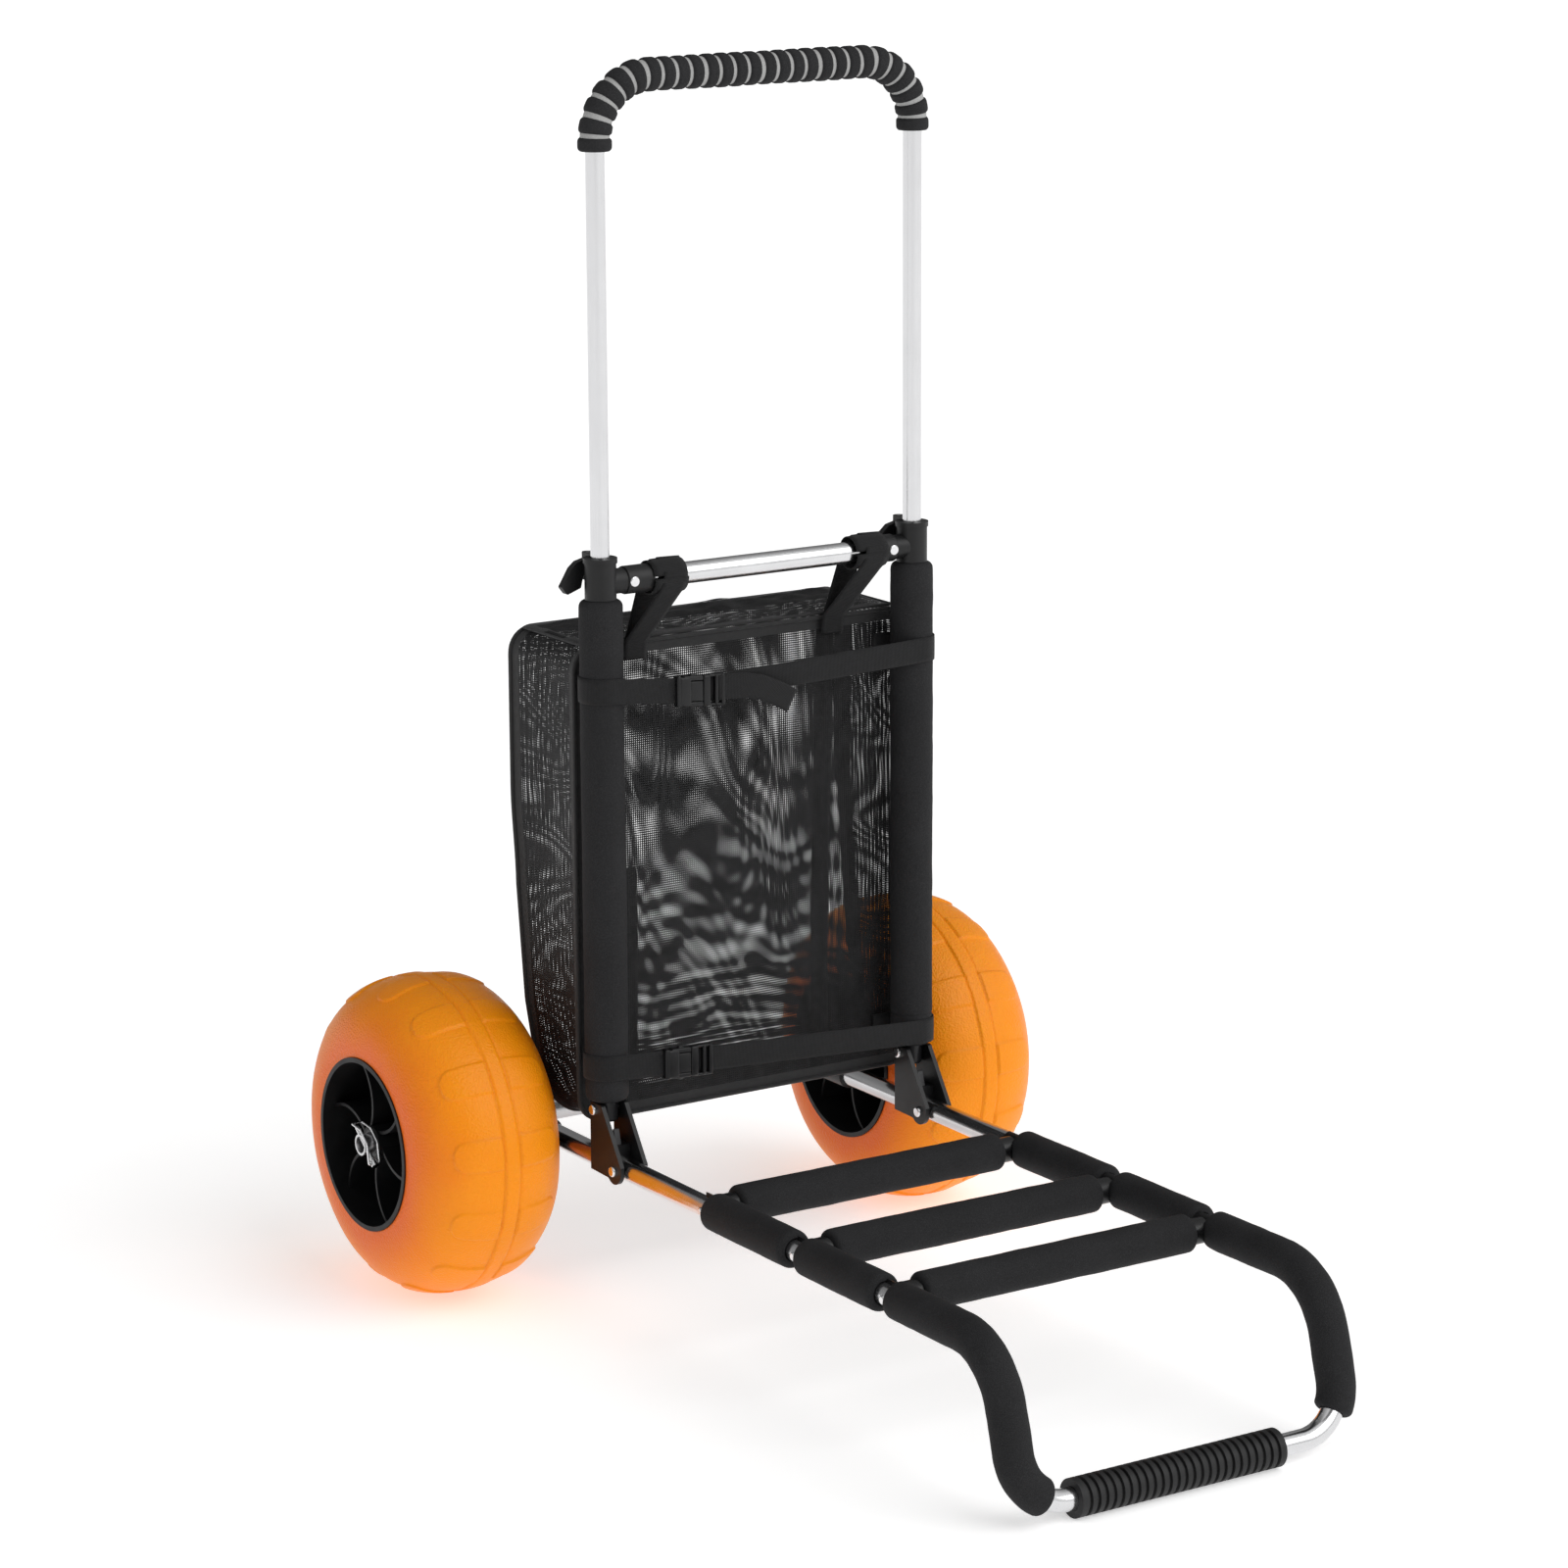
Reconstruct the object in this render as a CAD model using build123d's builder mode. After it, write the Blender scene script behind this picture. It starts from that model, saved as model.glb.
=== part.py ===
"""Folding beach cart: balloon wheels, padded deck, folding mast with a mesh bag, telescopic handle.

Millimetres, +Z up, the deck points to -Y. The origin is on the ground, under the middle of the cart.
"""

from build123d import *
import math
import os

os.makedirs("parts", exist_ok=True)

# ---- Overall sizes ----
wheel_radius = 165.0
wheel_width = 166.0
wheel_x = 290.0  # wheel mid-plane from the centre plane
axle_back = 168.0  # axle behind the mast plane
frame_x = 184.0  # rails and uprights from the centre plane
rail_drop = 5.0  # rail axis below the axle
pivot_up = 55.0  # fold pivot above the rail axis
bar_reach = 712.0  # front bar ahead of the mast plane
handle_rise = 1023.0  # handle top bar above the fold pivot
deck_reach = (194.0, 358.0, 508.0)  # deck tubes ahead of the mast plane

# ---- Tubes and foam ----
tube_radius = 11.0
tube_wall = 1.2
handle_radius = 9.5
handle_wall = 1.2
foam_radius = 19.0
mast_foam_radius = 22.0
foam_round = 5.0
skin_gap = 0.2  # foam over a tube
soft_gap = 0.4  # soft parts beside other parts
slide_gap = 0.05  # radial clearance of running fits
screw_gap = 0.1  # radial clearance of fixed screws

# ---- Front loop ----
bar_grip_radius = 18.5
bar_grip_length = 232.0
bar_grip_shift = -13.0
bar_grip_ribs = 26
bar_grip_groove = 2.6
arm_lean = 40.0  # the bar stands this far ahead of the knee
knee_radius = 70.0
corner_radius = 50.0
loop_joint_reach = 545.0  # where the loop pushes into the rails
spigot_length = 30.0
loop_foam_turn = {"left": 62.0, "right": 40.0}  # degrees round the lower corner

# ---- Deck ----
saddle_round = 3.0
saddle_cup_wall = 2.0  # cup round a deck tube
saddle_floor = 5.0
deck_foam_half = 157.0
screw_radius = 2.0
screw_head_radius = 4.2
screw_head_height = 2.6
foam_behind_screw = 6.0
foam_ahead_of_screw = 14.0

# ---- Fold brackets ----
bracket_plate = 4.5
bracket_gap = 0.3
bolt_ahead = 37.0  # lower bolt ahead of the pivot
bolt_radius = 3.0
bolt_head_radius = 5.5
bolt_head_height = 3.6
nut_radius = 5.0
nut_height = 4.0
lobe_radius = 13.5
bridge_height = 10.0  # bridge over the rail
clip_width = 6.0
clip_height = 15.0

# ---- Mast ----
upright_below_pivot = 13.0
mast_foam_bottom = 8.5  # above the pivot
collar_bottom = 517.0  # above the pivot
collar_height = 41.0
collar_radius = 15.7
collar_lip = 1.2
branch_up = 533.0
branch_wall = 3.0  # tee branch round the cross tube
branch_reach = 55.0
branch_floor = 28.0
rivet_radius = 5.3
rivet_head_height = 2.2
rivet_shank = 1.8
rivet_flat = 1.2  # seat cut into the branch for each head
tee_bore_gap = 0.25  # handle leg in the collar's bore
rivet_reach = 31.0  # rivet from the upright's axis
plug_length = 32.0

# ---- Levers ----
lever_pin_radius = 2.0
lever_pin_back = 23.5
lever_eye_radius = 6.0
lever_eye_half = 8.5
lever_thickness = 8.0
lever_up = 547.0
ear_height = 4.7
lever_root = 9.0  # its outline stays sharp nearer the pin than this
ear_gap = 0.3

# ---- Handle ----
handle_bend = 60.0
handle_leg_end = 415.0  # leg ends above the pivot
grip_drop = 70.0  # grip ends below the handle top
ring_radius = 16.5
sleeve_radius = 14.4
ring_count = 28
ring_width = 12.6
ring_round = 1.2
glide_length = 24.0

# ---- Bag ----
bag_half = 200.0
bag_front = 25.0
bag_depth = 130.0
bag_top = 464.0  # above the pivot
bag_bottom = -24.0
bag_wall = 2.4
bag_corner = 24.0
bag_tuck = 62.0  # lower rear corner of the bag is cut back
lid_thickness = 4.0

# ---- Webbing ----
web_width = 25.0
web_thickness = 1.6
upper_strap_up = 428.0
lower_strap_up = 50.0
hanger_x = (-112.0, 126.0)
hanger_width = 38.0
hanger_foot = 26.0
buckle_length = 58.0
buckle_width = 32.0
buckle_thickness = 10.0
buckle_x = {"upper": -85.0, "lower": -103.0}
tail_length = 96.0
tail_drop = 22.0

# ---- Axle and wheels ----
axle_radius = 11.0
axle_wall = 2.5
axle_half = 375.0
axle_z = wheel_radius
saddle_radius = 16.0
saddle_half = 20.0
socket_radius = 14.0
socket_length = 40.0
rim_radius = 89.0
rim_barrel_radius = 84.0
hub_radius = 17.5
hub_in = 11.0  # hub face inside the wheel's face
bush_radius = 14.0
bush_length = 22.0
rib_count = 6
rib_thickness = 3.2
rib_in = 14.0
rib_bow = 16.0
web_half = 3.0
tyre_wall = 4.5
axle_collar_radius = 16.0
axle_collar_length = 8.0

# ---- Linchpins ----
pin_radius = 2.3
pin_tilt = 40.0  # degrees above level
pin_length = 52.0
pin_in = 5.5  # from the axle's end
pin_head_radius = 3.8
ring_wire = 1.2
ring_half = 5.9  # the bail's legs from the pin's axis
pin_head_length = 6.0
bail_foot = 25.0  # bore for the bail from the axle's axis

# ---- Derived places ----
mast_y = (bar_reach + bar_grip_radius - axle_back - wheel_radius) / 2
axle_y = mast_y + axle_back
rail_z = axle_z - rail_drop
pivot_z = rail_z + pivot_up
bore_radius = tube_radius - tube_wall
saddle_cup_radius = tube_radius + saddle_cup_wall
branch_radius = tube_radius + branch_wall
rivet_seat = branch_radius - rivet_flat
grip_bottom = handle_rise - grip_drop
handle_bore = handle_radius - handle_wall
handle_top = pivot_z + handle_rise
collar_z = pivot_z + collar_bottom
collar_top = collar_z + collar_height
branch_z = pivot_z + branch_up
rail_rear_y = axle_y - axle_radius - 3.0
rail_front_y = mast_y - loop_joint_reach
deck_ys = [mast_y - reach for reach in deck_reach]
bolt_y = mast_y - bolt_ahead
saddle_face = frame_x - tube_radius  # inner side of a rail
plate_inner = tube_radius + bracket_gap
plate_outer = plate_inner + bracket_plate
hub_face = wheel_width / 2 - hub_in
sides = (("left", -1), ("right", 1))

saved = []


def save(part, name):
    """Label a finished piece and write it."""
    part.label = name
    export_step(part, "parts/" + name + ".step")
    saved.append(name)


def at(origin, along):
    """A plane at a point, whose normal points along a direction."""
    return Plane(origin=origin, z_dir=along)


def round_ends(part, radius):
    """Outer end circles of a sleeve, ready to be rounded."""
    circles = part.edges().filter_by(GeomType.CIRCLE)
    return circles.filter_by(lambda edge: abs(edge.radius - radius) < 0.01)


def sleeve(start, along, length, outer, inner, rounding=0.0):
    """A straight tube, rod or foam sleeve with optional rounded ends."""
    with BuildPart() as made:
        with BuildSketch(at(start, along)):
            Circle(outer)
            if inner:
                Circle(inner, mode=Mode.SUBTRACT)
        extrude(amount=length)
        if rounding:
            fillet(round_ends(made, outer), rounding)
    return made.part


def group(pieces):
    """Several like solids kept as one node."""
    with BuildPart() as made:
        for piece in pieces:
            add(piece)
    return made.part


def headed(start, along, shank, length, head, height):
    """A dome-headed screw or bolt: its head outside start, its shank along."""
    with BuildPart() as made:
        with BuildSketch(at(start, along)):
            Circle(shank)
        extrude(amount=length)
        with BuildSketch(at(start, along)):
            Circle(head)
        extrude(amount=-height)
        top = made.edges().filter_by(GeomType.CIRCLE).filter_by(lambda edge: abs(edge.radius - head) < 0.01)
        far = top.sort_by(lambda edge: (edge.center() - Vector(*start)).length)[-1]
        fillet(far, height * 0.6)
    return made.part


# ================= Base: axle, rails, front loop =================


def pin_axis():
    """Direction of the linchpins, up towards the rear."""
    tilt = math.radians(pin_tilt)
    return Vector(0, math.cos(tilt), math.sin(tilt))


def axle_tube():
    with BuildPart() as axle:
        with BuildSketch(at((-axle_half, axle_y, axle_z), (1, 0, 0))):
            Circle(axle_radius)
            Circle(axle_radius - axle_wall, mode=Mode.SUBTRACT)
        extrude(amount=2 * axle_half)
        for _, s in sides:
            with BuildSketch(at((s * (axle_half - pin_in), axle_y, axle_z), pin_axis())):
                Circle(pin_radius + slide_gap)
            extrude(amount=2 * axle_radius, both=True, mode=Mode.SUBTRACT)
    return axle.part


def axle_saddle(s):
    """Collar round the axle with a socket for the rail's rear end."""
    with BuildPart() as saddle:
        with BuildSketch(at((s * frame_x - saddle_half, axle_y, axle_z), (1, 0, 0))):
            Circle(saddle_radius)
        extrude(amount=2 * saddle_half)
        with BuildSketch(at((s * frame_x, axle_y, rail_z), (0, -1, 0))):
            Circle(socket_radius)
        extrude(amount=axle_y - rail_rear_y + socket_length)
        fillet(round_ends(saddle, saddle_radius), 2)
        with BuildSketch(at((s * frame_x - saddle_half, axle_y, axle_z), (1, 0, 0))):
            Circle(axle_radius)
        extrude(amount=2 * saddle_half, mode=Mode.SUBTRACT)
        with BuildSketch(at((s * frame_x, rail_rear_y, rail_z), (0, -1, 0))):
            Circle(tube_radius)
        extrude(amount=socket_length + 1, mode=Mode.SUBTRACT)
    return saddle.part


def side_rail(s):
    with BuildPart() as rail:
        with BuildSketch(at((s * frame_x, rail_rear_y, rail_z), (0, -1, 0))):
            Circle(tube_radius)
            Circle(bore_radius, mode=Mode.SUBTRACT)
        extrude(amount=rail_rear_y - rail_front_y)
        holes = [(y, screw_radius + screw_gap) for y in deck_ys]
        holes.append((bolt_y, bolt_radius + screw_gap))
        for y, radius in holes:
            with BuildSketch(at((s * frame_x, y, rail_z), (1, 0, 0))):
                Circle(radius)
            extrude(amount=tube_radius + 1, both=True, mode=Mode.SUBTRACT)
    return rail.part


def loop_corners(s):
    """Knee and lower corner of the loop's centre line on one side."""
    knee = (s * frame_x, mast_y - bar_reach + arm_lean, rail_z)
    corner = (s * frame_x, mast_y - bar_reach, bar_grip_radius)
    return knee, corner


def front_loop():
    """Bent tube from rail to rail, with a spigot pushed into each rail."""
    left_knee, left_corner = loop_corners(-1)
    right_knee, right_corner = loop_corners(1)
    left_end = (-frame_x, rail_front_y, rail_z)
    right_end = (frame_x, rail_front_y, rail_z)
    with BuildPart() as loop:
        with BuildLine() as route:
            FilletPolyline(
                left_end,
                left_knee,
                left_corner,
                right_corner,
                right_knee,
                right_end,
                radius=[knee_radius, corner_radius, corner_radius, knee_radius],
            )
        with BuildSketch(at(left_end, (0, -1, 0))):
            Circle(tube_radius)
            Circle(bore_radius, mode=Mode.SUBTRACT)
        sweep(path=route.wires()[0])
        for end in (left_end, right_end):
            with BuildSketch(at(end, (0, 1, 0))):
                Circle(bore_radius - screw_gap)
                Circle(bore_radius - tube_wall, mode=Mode.SUBTRACT)
            extrude(amount=spigot_length)
            with BuildSketch(at(end, (0, -1, 0))):
                Circle(bore_radius + tube_wall / 2)
                Circle(bore_radius - tube_wall, mode=Mode.SUBTRACT)
            extrude(amount=tube_wall * 2)
    return loop.part


def loop_foam(side, s):
    """Foam over the knee and the arm, ending part-way round the lower corner."""
    knee, corner = loop_corners(s)
    start = (s * frame_x, deck_ys[2] - foam_behind_screw, rail_z)
    beyond = (0, corner[1], corner[2])
    with BuildPart() as foam:
        with BuildLine(mode=Mode.PRIVATE) as whole:
            FilletPolyline(start, knee, corner, beyond, radius=[knee_radius, corner_radius])
        edges = whole.wires()[0].order_edges()
        with BuildLine() as route:
            add(edges[:3])
            add(edges[3].trim(0, loop_foam_turn[side] / 90.0))
        for radius, mode in ((foam_radius, Mode.ADD), (tube_radius + skin_gap, Mode.SUBTRACT)):
            with BuildSketch(at(start, (0, -1, 0))):
                Circle(radius)
            sweep(path=route.wires()[0], mode=mode)
        fillet(round_ends(foam, foam_radius), foam_round)
        with BuildSketch(at((0, deck_ys[2], rail_z), (s, 0, 0))):
            Circle(saddle_cup_radius + soft_gap)
        extrude(amount=saddle_face + soft_gap, mode=Mode.SUBTRACT)
    return foam.part


def bar_grip():
    """Ribbed rubber sleeve on the front bar."""
    pitch = bar_grip_length / bar_grip_ribs
    start = bar_grip_shift - bar_grip_length / 2
    inner = tube_radius + skin_gap
    floor = bar_grip_radius - bar_grip_groove
    points = [(start, inner), (start, bar_grip_radius)]
    for rib in range(1, bar_grip_ribs):
        edge = start + rib * pitch
        points += [
            (edge - pitch * 0.22, bar_grip_radius),
            (edge - pitch * 0.14, floor),
            (edge + pitch * 0.14, floor),
            (edge + pitch * 0.22, bar_grip_radius),
        ]
    points += [(start + bar_grip_length, bar_grip_radius), (start + bar_grip_length, inner)]
    base = Plane(origin=(0, mast_y - bar_reach, bar_grip_radius), x_dir=(1, 0, 0), z_dir=(0, -1, 0))
    with BuildPart() as grip:
        with BuildSketch(base):
            with BuildLine():
                Polyline(*points, close=True)
            make_face()
        revolve(axis=Axis((0, mast_y - bar_reach, bar_grip_radius), (1, 0, 0)))
    return grip.part


# ================= Base: deck =================


def deck_saddle(s, y):
    """Cup for a deck tube's end, hugging the inner half of the rail."""
    hug = tube_radius + saddle_round
    rear = y + foam_ahead_of_screw - soft_gap
    front = y - foam_behind_screw + soft_gap
    with BuildPart() as saddle:
        with BuildSketch(at((s * frame_x, rear, rail_z), (0, -1, 0))):
            Circle(hug)
        extrude(amount=rear - front)
        # Only the inner part of the ring stays.
        with BuildSketch(Plane.XY.offset(rail_z - 2 * hug)):
            with Locations((s * (frame_x - saddle_round + hug), y)):
                Rectangle(2 * hug, 4 * hug)
        extrude(amount=4 * hug, mode=Mode.SUBTRACT)
        with BuildSketch(at((s * deck_foam_half, y, rail_z), (s, 0, 0))):
            Circle(saddle_cup_radius - soft_gap / 2)
        extrude(amount=saddle_face - deck_foam_half)
        with BuildSketch(at((s * frame_x, rear + 1, rail_z), (0, -1, 0))):
            Circle(tube_radius)
        extrude(amount=2 * hug, mode=Mode.SUBTRACT)
        with BuildSketch(at((s * (deck_foam_half - 1), y, rail_z), (s, 0, 0))):
            Circle(tube_radius)
        extrude(amount=saddle_face - saddle_floor - deck_foam_half + 1, mode=Mode.SUBTRACT)
        with BuildSketch(at((0, y, rail_z), (s, 0, 0))):
            Circle(screw_radius + screw_gap)
        extrude(amount=frame_x, mode=Mode.SUBTRACT)
    return saddle.part


def deck_tube(y):
    half = saddle_face - saddle_floor
    return sleeve((-half, y, rail_z), (1, 0, 0), 2 * half, tube_radius, bore_radius)


def deck_foam(y):
    start = (-deck_foam_half + soft_gap, y, rail_z)
    length = 2 * (deck_foam_half - soft_gap)
    return sleeve(start, (1, 0, 0), length, foam_radius, tube_radius + skin_gap, foam_round)


def rail_foam(s, rear_tube, front_tube):
    """Foam on a rail between two deck tubes, scooped for the rear tube's cup."""
    start = rear_tube - foam_behind_screw
    length = start - front_tube - foam_ahead_of_screw
    with BuildPart() as foam:
        with BuildSketch(at((s * frame_x, start, rail_z), (0, -1, 0))):
            Circle(foam_radius)
            Circle(tube_radius + skin_gap, mode=Mode.SUBTRACT)
        extrude(amount=length)
        fillet(round_ends(foam, foam_radius), foam_round)
        for y in (rear_tube, front_tube):
            with BuildSketch(at((0, y, rail_z), (s, 0, 0))):
                Circle(saddle_cup_radius + soft_gap)
            extrude(amount=saddle_face + soft_gap, mode=Mode.SUBTRACT)
    return foam.part


def deck_screws():
    length = tube_radius * 2 + saddle_floor
    pieces = []
    for _, s in sides:
        for y in deck_ys:
            start = (s * (frame_x + tube_radius), y, rail_z)
            pieces.append(
                headed(start, (-s, 0, 0), screw_radius, length, screw_head_radius, screw_head_height)
            )
    return group(pieces)


# ================= Base: fold brackets =================


def fold_bracket(s):
    """Two plates and a bridge, open to the front, bolted over the rail."""
    rear = mast_y + 7.0
    top = pivot_z + 7.0
    low = rail_z - 8.0
    with BuildPart() as bracket:
        with BuildSketch(Plane.YZ.offset(s * frame_x - plate_outer)):
            with BuildLine():
                Polyline(
                    (rear, top),
                    (mast_y - 14.0, top),
                    (bolt_y - lobe_radius, rail_z + 6.0),
                    (bolt_y - lobe_radius, rail_z),
                    (bolt_y, rail_z - lobe_radius),
                    (bolt_y + 11.0, low - 1.0),
                    (rear, low),
                    close=True,
                )
            make_face()
            with Locations((bolt_y, rail_z)):
                Circle(lobe_radius)
        extrude(amount=2 * plate_outer)
        outline = bracket.edges().filter_by(Axis.X).filter_by(lambda edge: edge.center().Z > rail_z + 20)
        fillet(outline, 3.0)
        with BuildSketch(Plane.XY.offset(low - 20)):
            with Locations((s * frame_x, (mast_y + bolt_y) / 2)):
                Rectangle(2 * plate_inner, 200)
        extrude(amount=200, mode=Mode.SUBTRACT)
        # The bridge joins the plates on top of the rail, clear of the upright's end.
        with BuildSketch(Plane.XY.offset(rail_z)):
            with Locations((s * frame_x, mast_y - 9.0)):
                Rectangle(2 * plate_inner, 30.0)
        extrude(amount=tube_radius + bridge_height)
        with BuildSketch(at((s * frame_x, mast_y + 10, rail_z), (0, -1, 0))):
            Circle(tube_radius)
        extrude(amount=60, mode=Mode.SUBTRACT)
        for y, z in ((mast_y, pivot_z), (bolt_y, rail_z)):
            with BuildSketch(at((s * frame_x, y, z), (1, 0, 0))):
                Circle(bolt_radius + screw_gap)
            extrude(amount=40, both=True, mode=Mode.SUBTRACT)
    return bracket.part


def bracket_fasteners():
    """Bolts through both brackets, heads to the left, and their nuts."""
    bolts = []
    nuts = []
    for _, s in sides:
        for y, z in ((mast_y, pivot_z), (bolt_y, rail_z)):
            left_face = s * frame_x - plate_outer
            right_face = s * frame_x + plate_outer
            length = 2 * plate_outer + nut_height + 1.5
            bolts.append(
                headed((left_face, y, z), (1, 0, 0), bolt_radius, length, bolt_head_radius, bolt_head_height)
            )
            with BuildPart() as nut:
                with BuildSketch(at((right_face, y, z), (1, 0, 0))):
                    RegularPolygon(nut_radius, 6)
                    Circle(bolt_radius + slide_gap, mode=Mode.SUBTRACT)
                extrude(amount=nut_height)
            nuts.append(nut.part)
    return group(bolts), group(nuts)


def fold_clips():
    """Leaf clips on the bridges, springing against the uprights' plugs."""
    low = rail_z + tube_radius + bridge_height
    pieces = []
    for _, s in sides:
        with BuildPart() as clip:
            with BuildSketch(Plane.YZ.offset(s * frame_x - clip_width / 2)):
                with BuildLine():
                    Polyline(
                        (mast_y - 21.0, low),
                        (mast_y - 18.5, low),
                        (mast_y - 14.5, low + clip_height),
                        (mast_y - 17.0, low + clip_height),
                        close=True,
                    )
                make_face()
            extrude(amount=clip_width)
        pieces.append(clip.part)
    return group(pieces)


def axle_collars():
    """Rings that hold the wheels off the frame."""
    inner_face = wheel_x - hub_face
    pieces = []
    for _, s in sides:
        start = (s * (inner_face - 0.5), axle_y, axle_z)
        pieces.append(
            sleeve(start, (-s, 0, 0), axle_collar_length, axle_collar_radius, axle_radius, 1.0)
        )
    return group(pieces)


# ================= Mast =================


def upright_tube(s):
    start = (s * frame_x, mast_y, pivot_z - upright_below_pivot + 3.0)
    length = collar_z + 12.0 - start[2]
    with BuildPart() as upright:
        with BuildSketch(at(start, (0, 0, 1))):
            Circle(tube_radius)
            Circle(bore_radius, mode=Mode.SUBTRACT)
        extrude(amount=length)
        with BuildSketch(at((s * frame_x, mast_y, pivot_z), (1, 0, 0))):
            Circle(bolt_radius + slide_gap)
        extrude(amount=20, both=True, mode=Mode.SUBTRACT)
    return upright.part


def upright_plugs():
    """Nylon plugs in the lower ends of the uprights, bored for the pivot bolts."""
    pieces = []
    for _, s in sides:
        bottom = pivot_z - upright_below_pivot
        with BuildPart() as plug:
            with BuildSketch(at((s * frame_x, mast_y, bottom), (0, 0, 1))):
                Circle(tube_radius)
            extrude(amount=3.0)
            with BuildSketch(at((s * frame_x, mast_y, bottom + 3.0), (0, 0, 1))):
                Circle(bore_radius - slide_gap)
            extrude(amount=plug_length - 3.0)
            low = plug.edges().filter_by(GeomType.CIRCLE).sort_by(Axis.Z)[0]
            fillet(low, 2.4)
            with BuildSketch(at((s * frame_x, mast_y, pivot_z), (1, 0, 0))):
                Circle(bolt_radius + slide_gap)
            extrude(amount=20, both=True, mode=Mode.SUBTRACT)
        pieces.append(plug.part)
    return group(pieces)


def upright_foam(s):
    """Foam on an upright, slit at the lower front where the bracket's plates swing in."""
    bottom = pivot_z + mast_foam_bottom
    with BuildPart() as foam:
        with BuildSketch(at((s * frame_x, mast_y, bottom), (0, 0, 1))):
            Circle(mast_foam_radius)
            Circle(tube_radius + skin_gap, mode=Mode.SUBTRACT)
        extrude(amount=collar_z - soft_gap - bottom)
        fillet(round_ends(foam, mast_foam_radius), 7)
        slit = 2 * (plate_outer + soft_gap)
        with BuildSketch(Plane.XY.offset(bottom - 1)):
            with Locations((s * frame_x, mast_y - 12.0)):
                Rectangle(slit, 48.0)
        extrude(amount=36.0 - mast_foam_bottom, mode=Mode.SUBTRACT)
    return foam.part


def tee(s):
    """Collar on the upright with a branch for the cross tube and ears for the cam lever."""
    towards = -s
    with BuildPart() as made:
        with BuildSketch(at((s * frame_x, mast_y, collar_z), (0, 0, 1))):
            Circle(collar_radius)
        extrude(amount=collar_height)
        with BuildSketch(at((s * frame_x, mast_y, collar_top - 5), (0, 0, 1))):
            Circle(collar_radius + collar_lip)
        extrude(amount=5)
        with BuildSketch(at((s * frame_x, mast_y, branch_z), (towards, 0, 0))):
            Circle(branch_radius - 1.5)
        extrude(amount=branch_reach)
        with BuildSketch(at((s * (frame_x - branch_reach + 30), mast_y, branch_z), (towards, 0, 0))):
            Circle(branch_radius)
        extrude(amount=30)
        # Two ears behind the collar hold the lever's pin.
        for low in (lever_up - lever_eye_half - ear_gap - ear_height, lever_up + lever_eye_half + ear_gap):
            with BuildSketch(Plane.XY.offset(pivot_z + low)):
                with Locations((s * frame_x, mast_y + lever_pin_back / 2)):
                    Rectangle(2 * lever_eye_radius, lever_pin_back)
                with Locations((s * frame_x, mast_y + lever_pin_back)):
                    Circle(lever_eye_radius)
            extrude(amount=ear_height)
        fillet(round_ends(made, branch_radius), 1.2)
        # Bores: handle leg through the collar, upright below, cross tube in the branch.
        with BuildSketch(at((s * frame_x, mast_y, collar_z), (0, 0, 1))):
            Circle(handle_radius + tee_bore_gap)
        extrude(amount=collar_height + ear_height, mode=Mode.SUBTRACT)
        with BuildSketch(at((s * frame_x, mast_y, collar_z), (0, 0, 1))):
            Circle(tube_radius)
        extrude(amount=12.0, mode=Mode.SUBTRACT)
        with BuildSketch(at((s * (frame_x - branch_floor), mast_y, branch_z), (towards, 0, 0))):
            Circle(tube_radius)
        extrude(amount=branch_reach, mode=Mode.SUBTRACT)
        with BuildSketch(at((s * (frame_x - rivet_reach), mast_y, branch_z), (0, -1, 0))):
            Circle(rivet_shank + screw_gap)
        extrude(amount=branch_radius + 3, both=True, mode=Mode.SUBTRACT)
        with BuildSketch(at((s * (frame_x - rivet_reach), mast_y - rivet_seat, branch_z), (0, -1, 0))):
            Circle(rivet_radius + screw_gap)
        extrude(amount=branch_radius, mode=Mode.SUBTRACT)
        with BuildSketch(at((s * frame_x, mast_y + lever_pin_back, pivot_z + lever_up), (0, 0, 1))):
            Circle(lever_pin_radius)
        extrude(amount=lever_eye_half + 6, both=True, mode=Mode.SUBTRACT)
    return made.part


def cross_tube():
    half = frame_x - branch_floor
    with BuildPart() as tube:
        with BuildSketch(at((-half, mast_y, branch_z), (1, 0, 0))):
            Circle(tube_radius)
            Circle(bore_radius, mode=Mode.SUBTRACT)
        extrude(amount=2 * half)
        for _, s in sides:
            with BuildSketch(at((s * (frame_x - rivet_reach), mast_y, branch_z), (0, -1, 0))):
                Circle(rivet_shank + screw_gap)
            extrude(amount=2 * tube_radius, both=True, mode=Mode.SUBTRACT)
    return tube.part


def tee_rivets():
    pieces = []
    for _, s in sides:
        start = (s * (frame_x - rivet_reach), mast_y - rivet_seat, branch_z)
        pieces.append(headed(start, (0, 1, 0), rivet_shank, 2 * rivet_seat, rivet_radius, rivet_head_height))
    return group(pieces)


def lever_pins():
    height = lever_eye_half + 5.0
    pieces = []
    for _, s in sides:
        start = (s * frame_x, mast_y + lever_pin_back, pivot_z + lever_up - height)
        pieces.append(sleeve(start, (0, 0, 1), 2 * height, lever_pin_radius, 0))
    return group(pieces)


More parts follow.
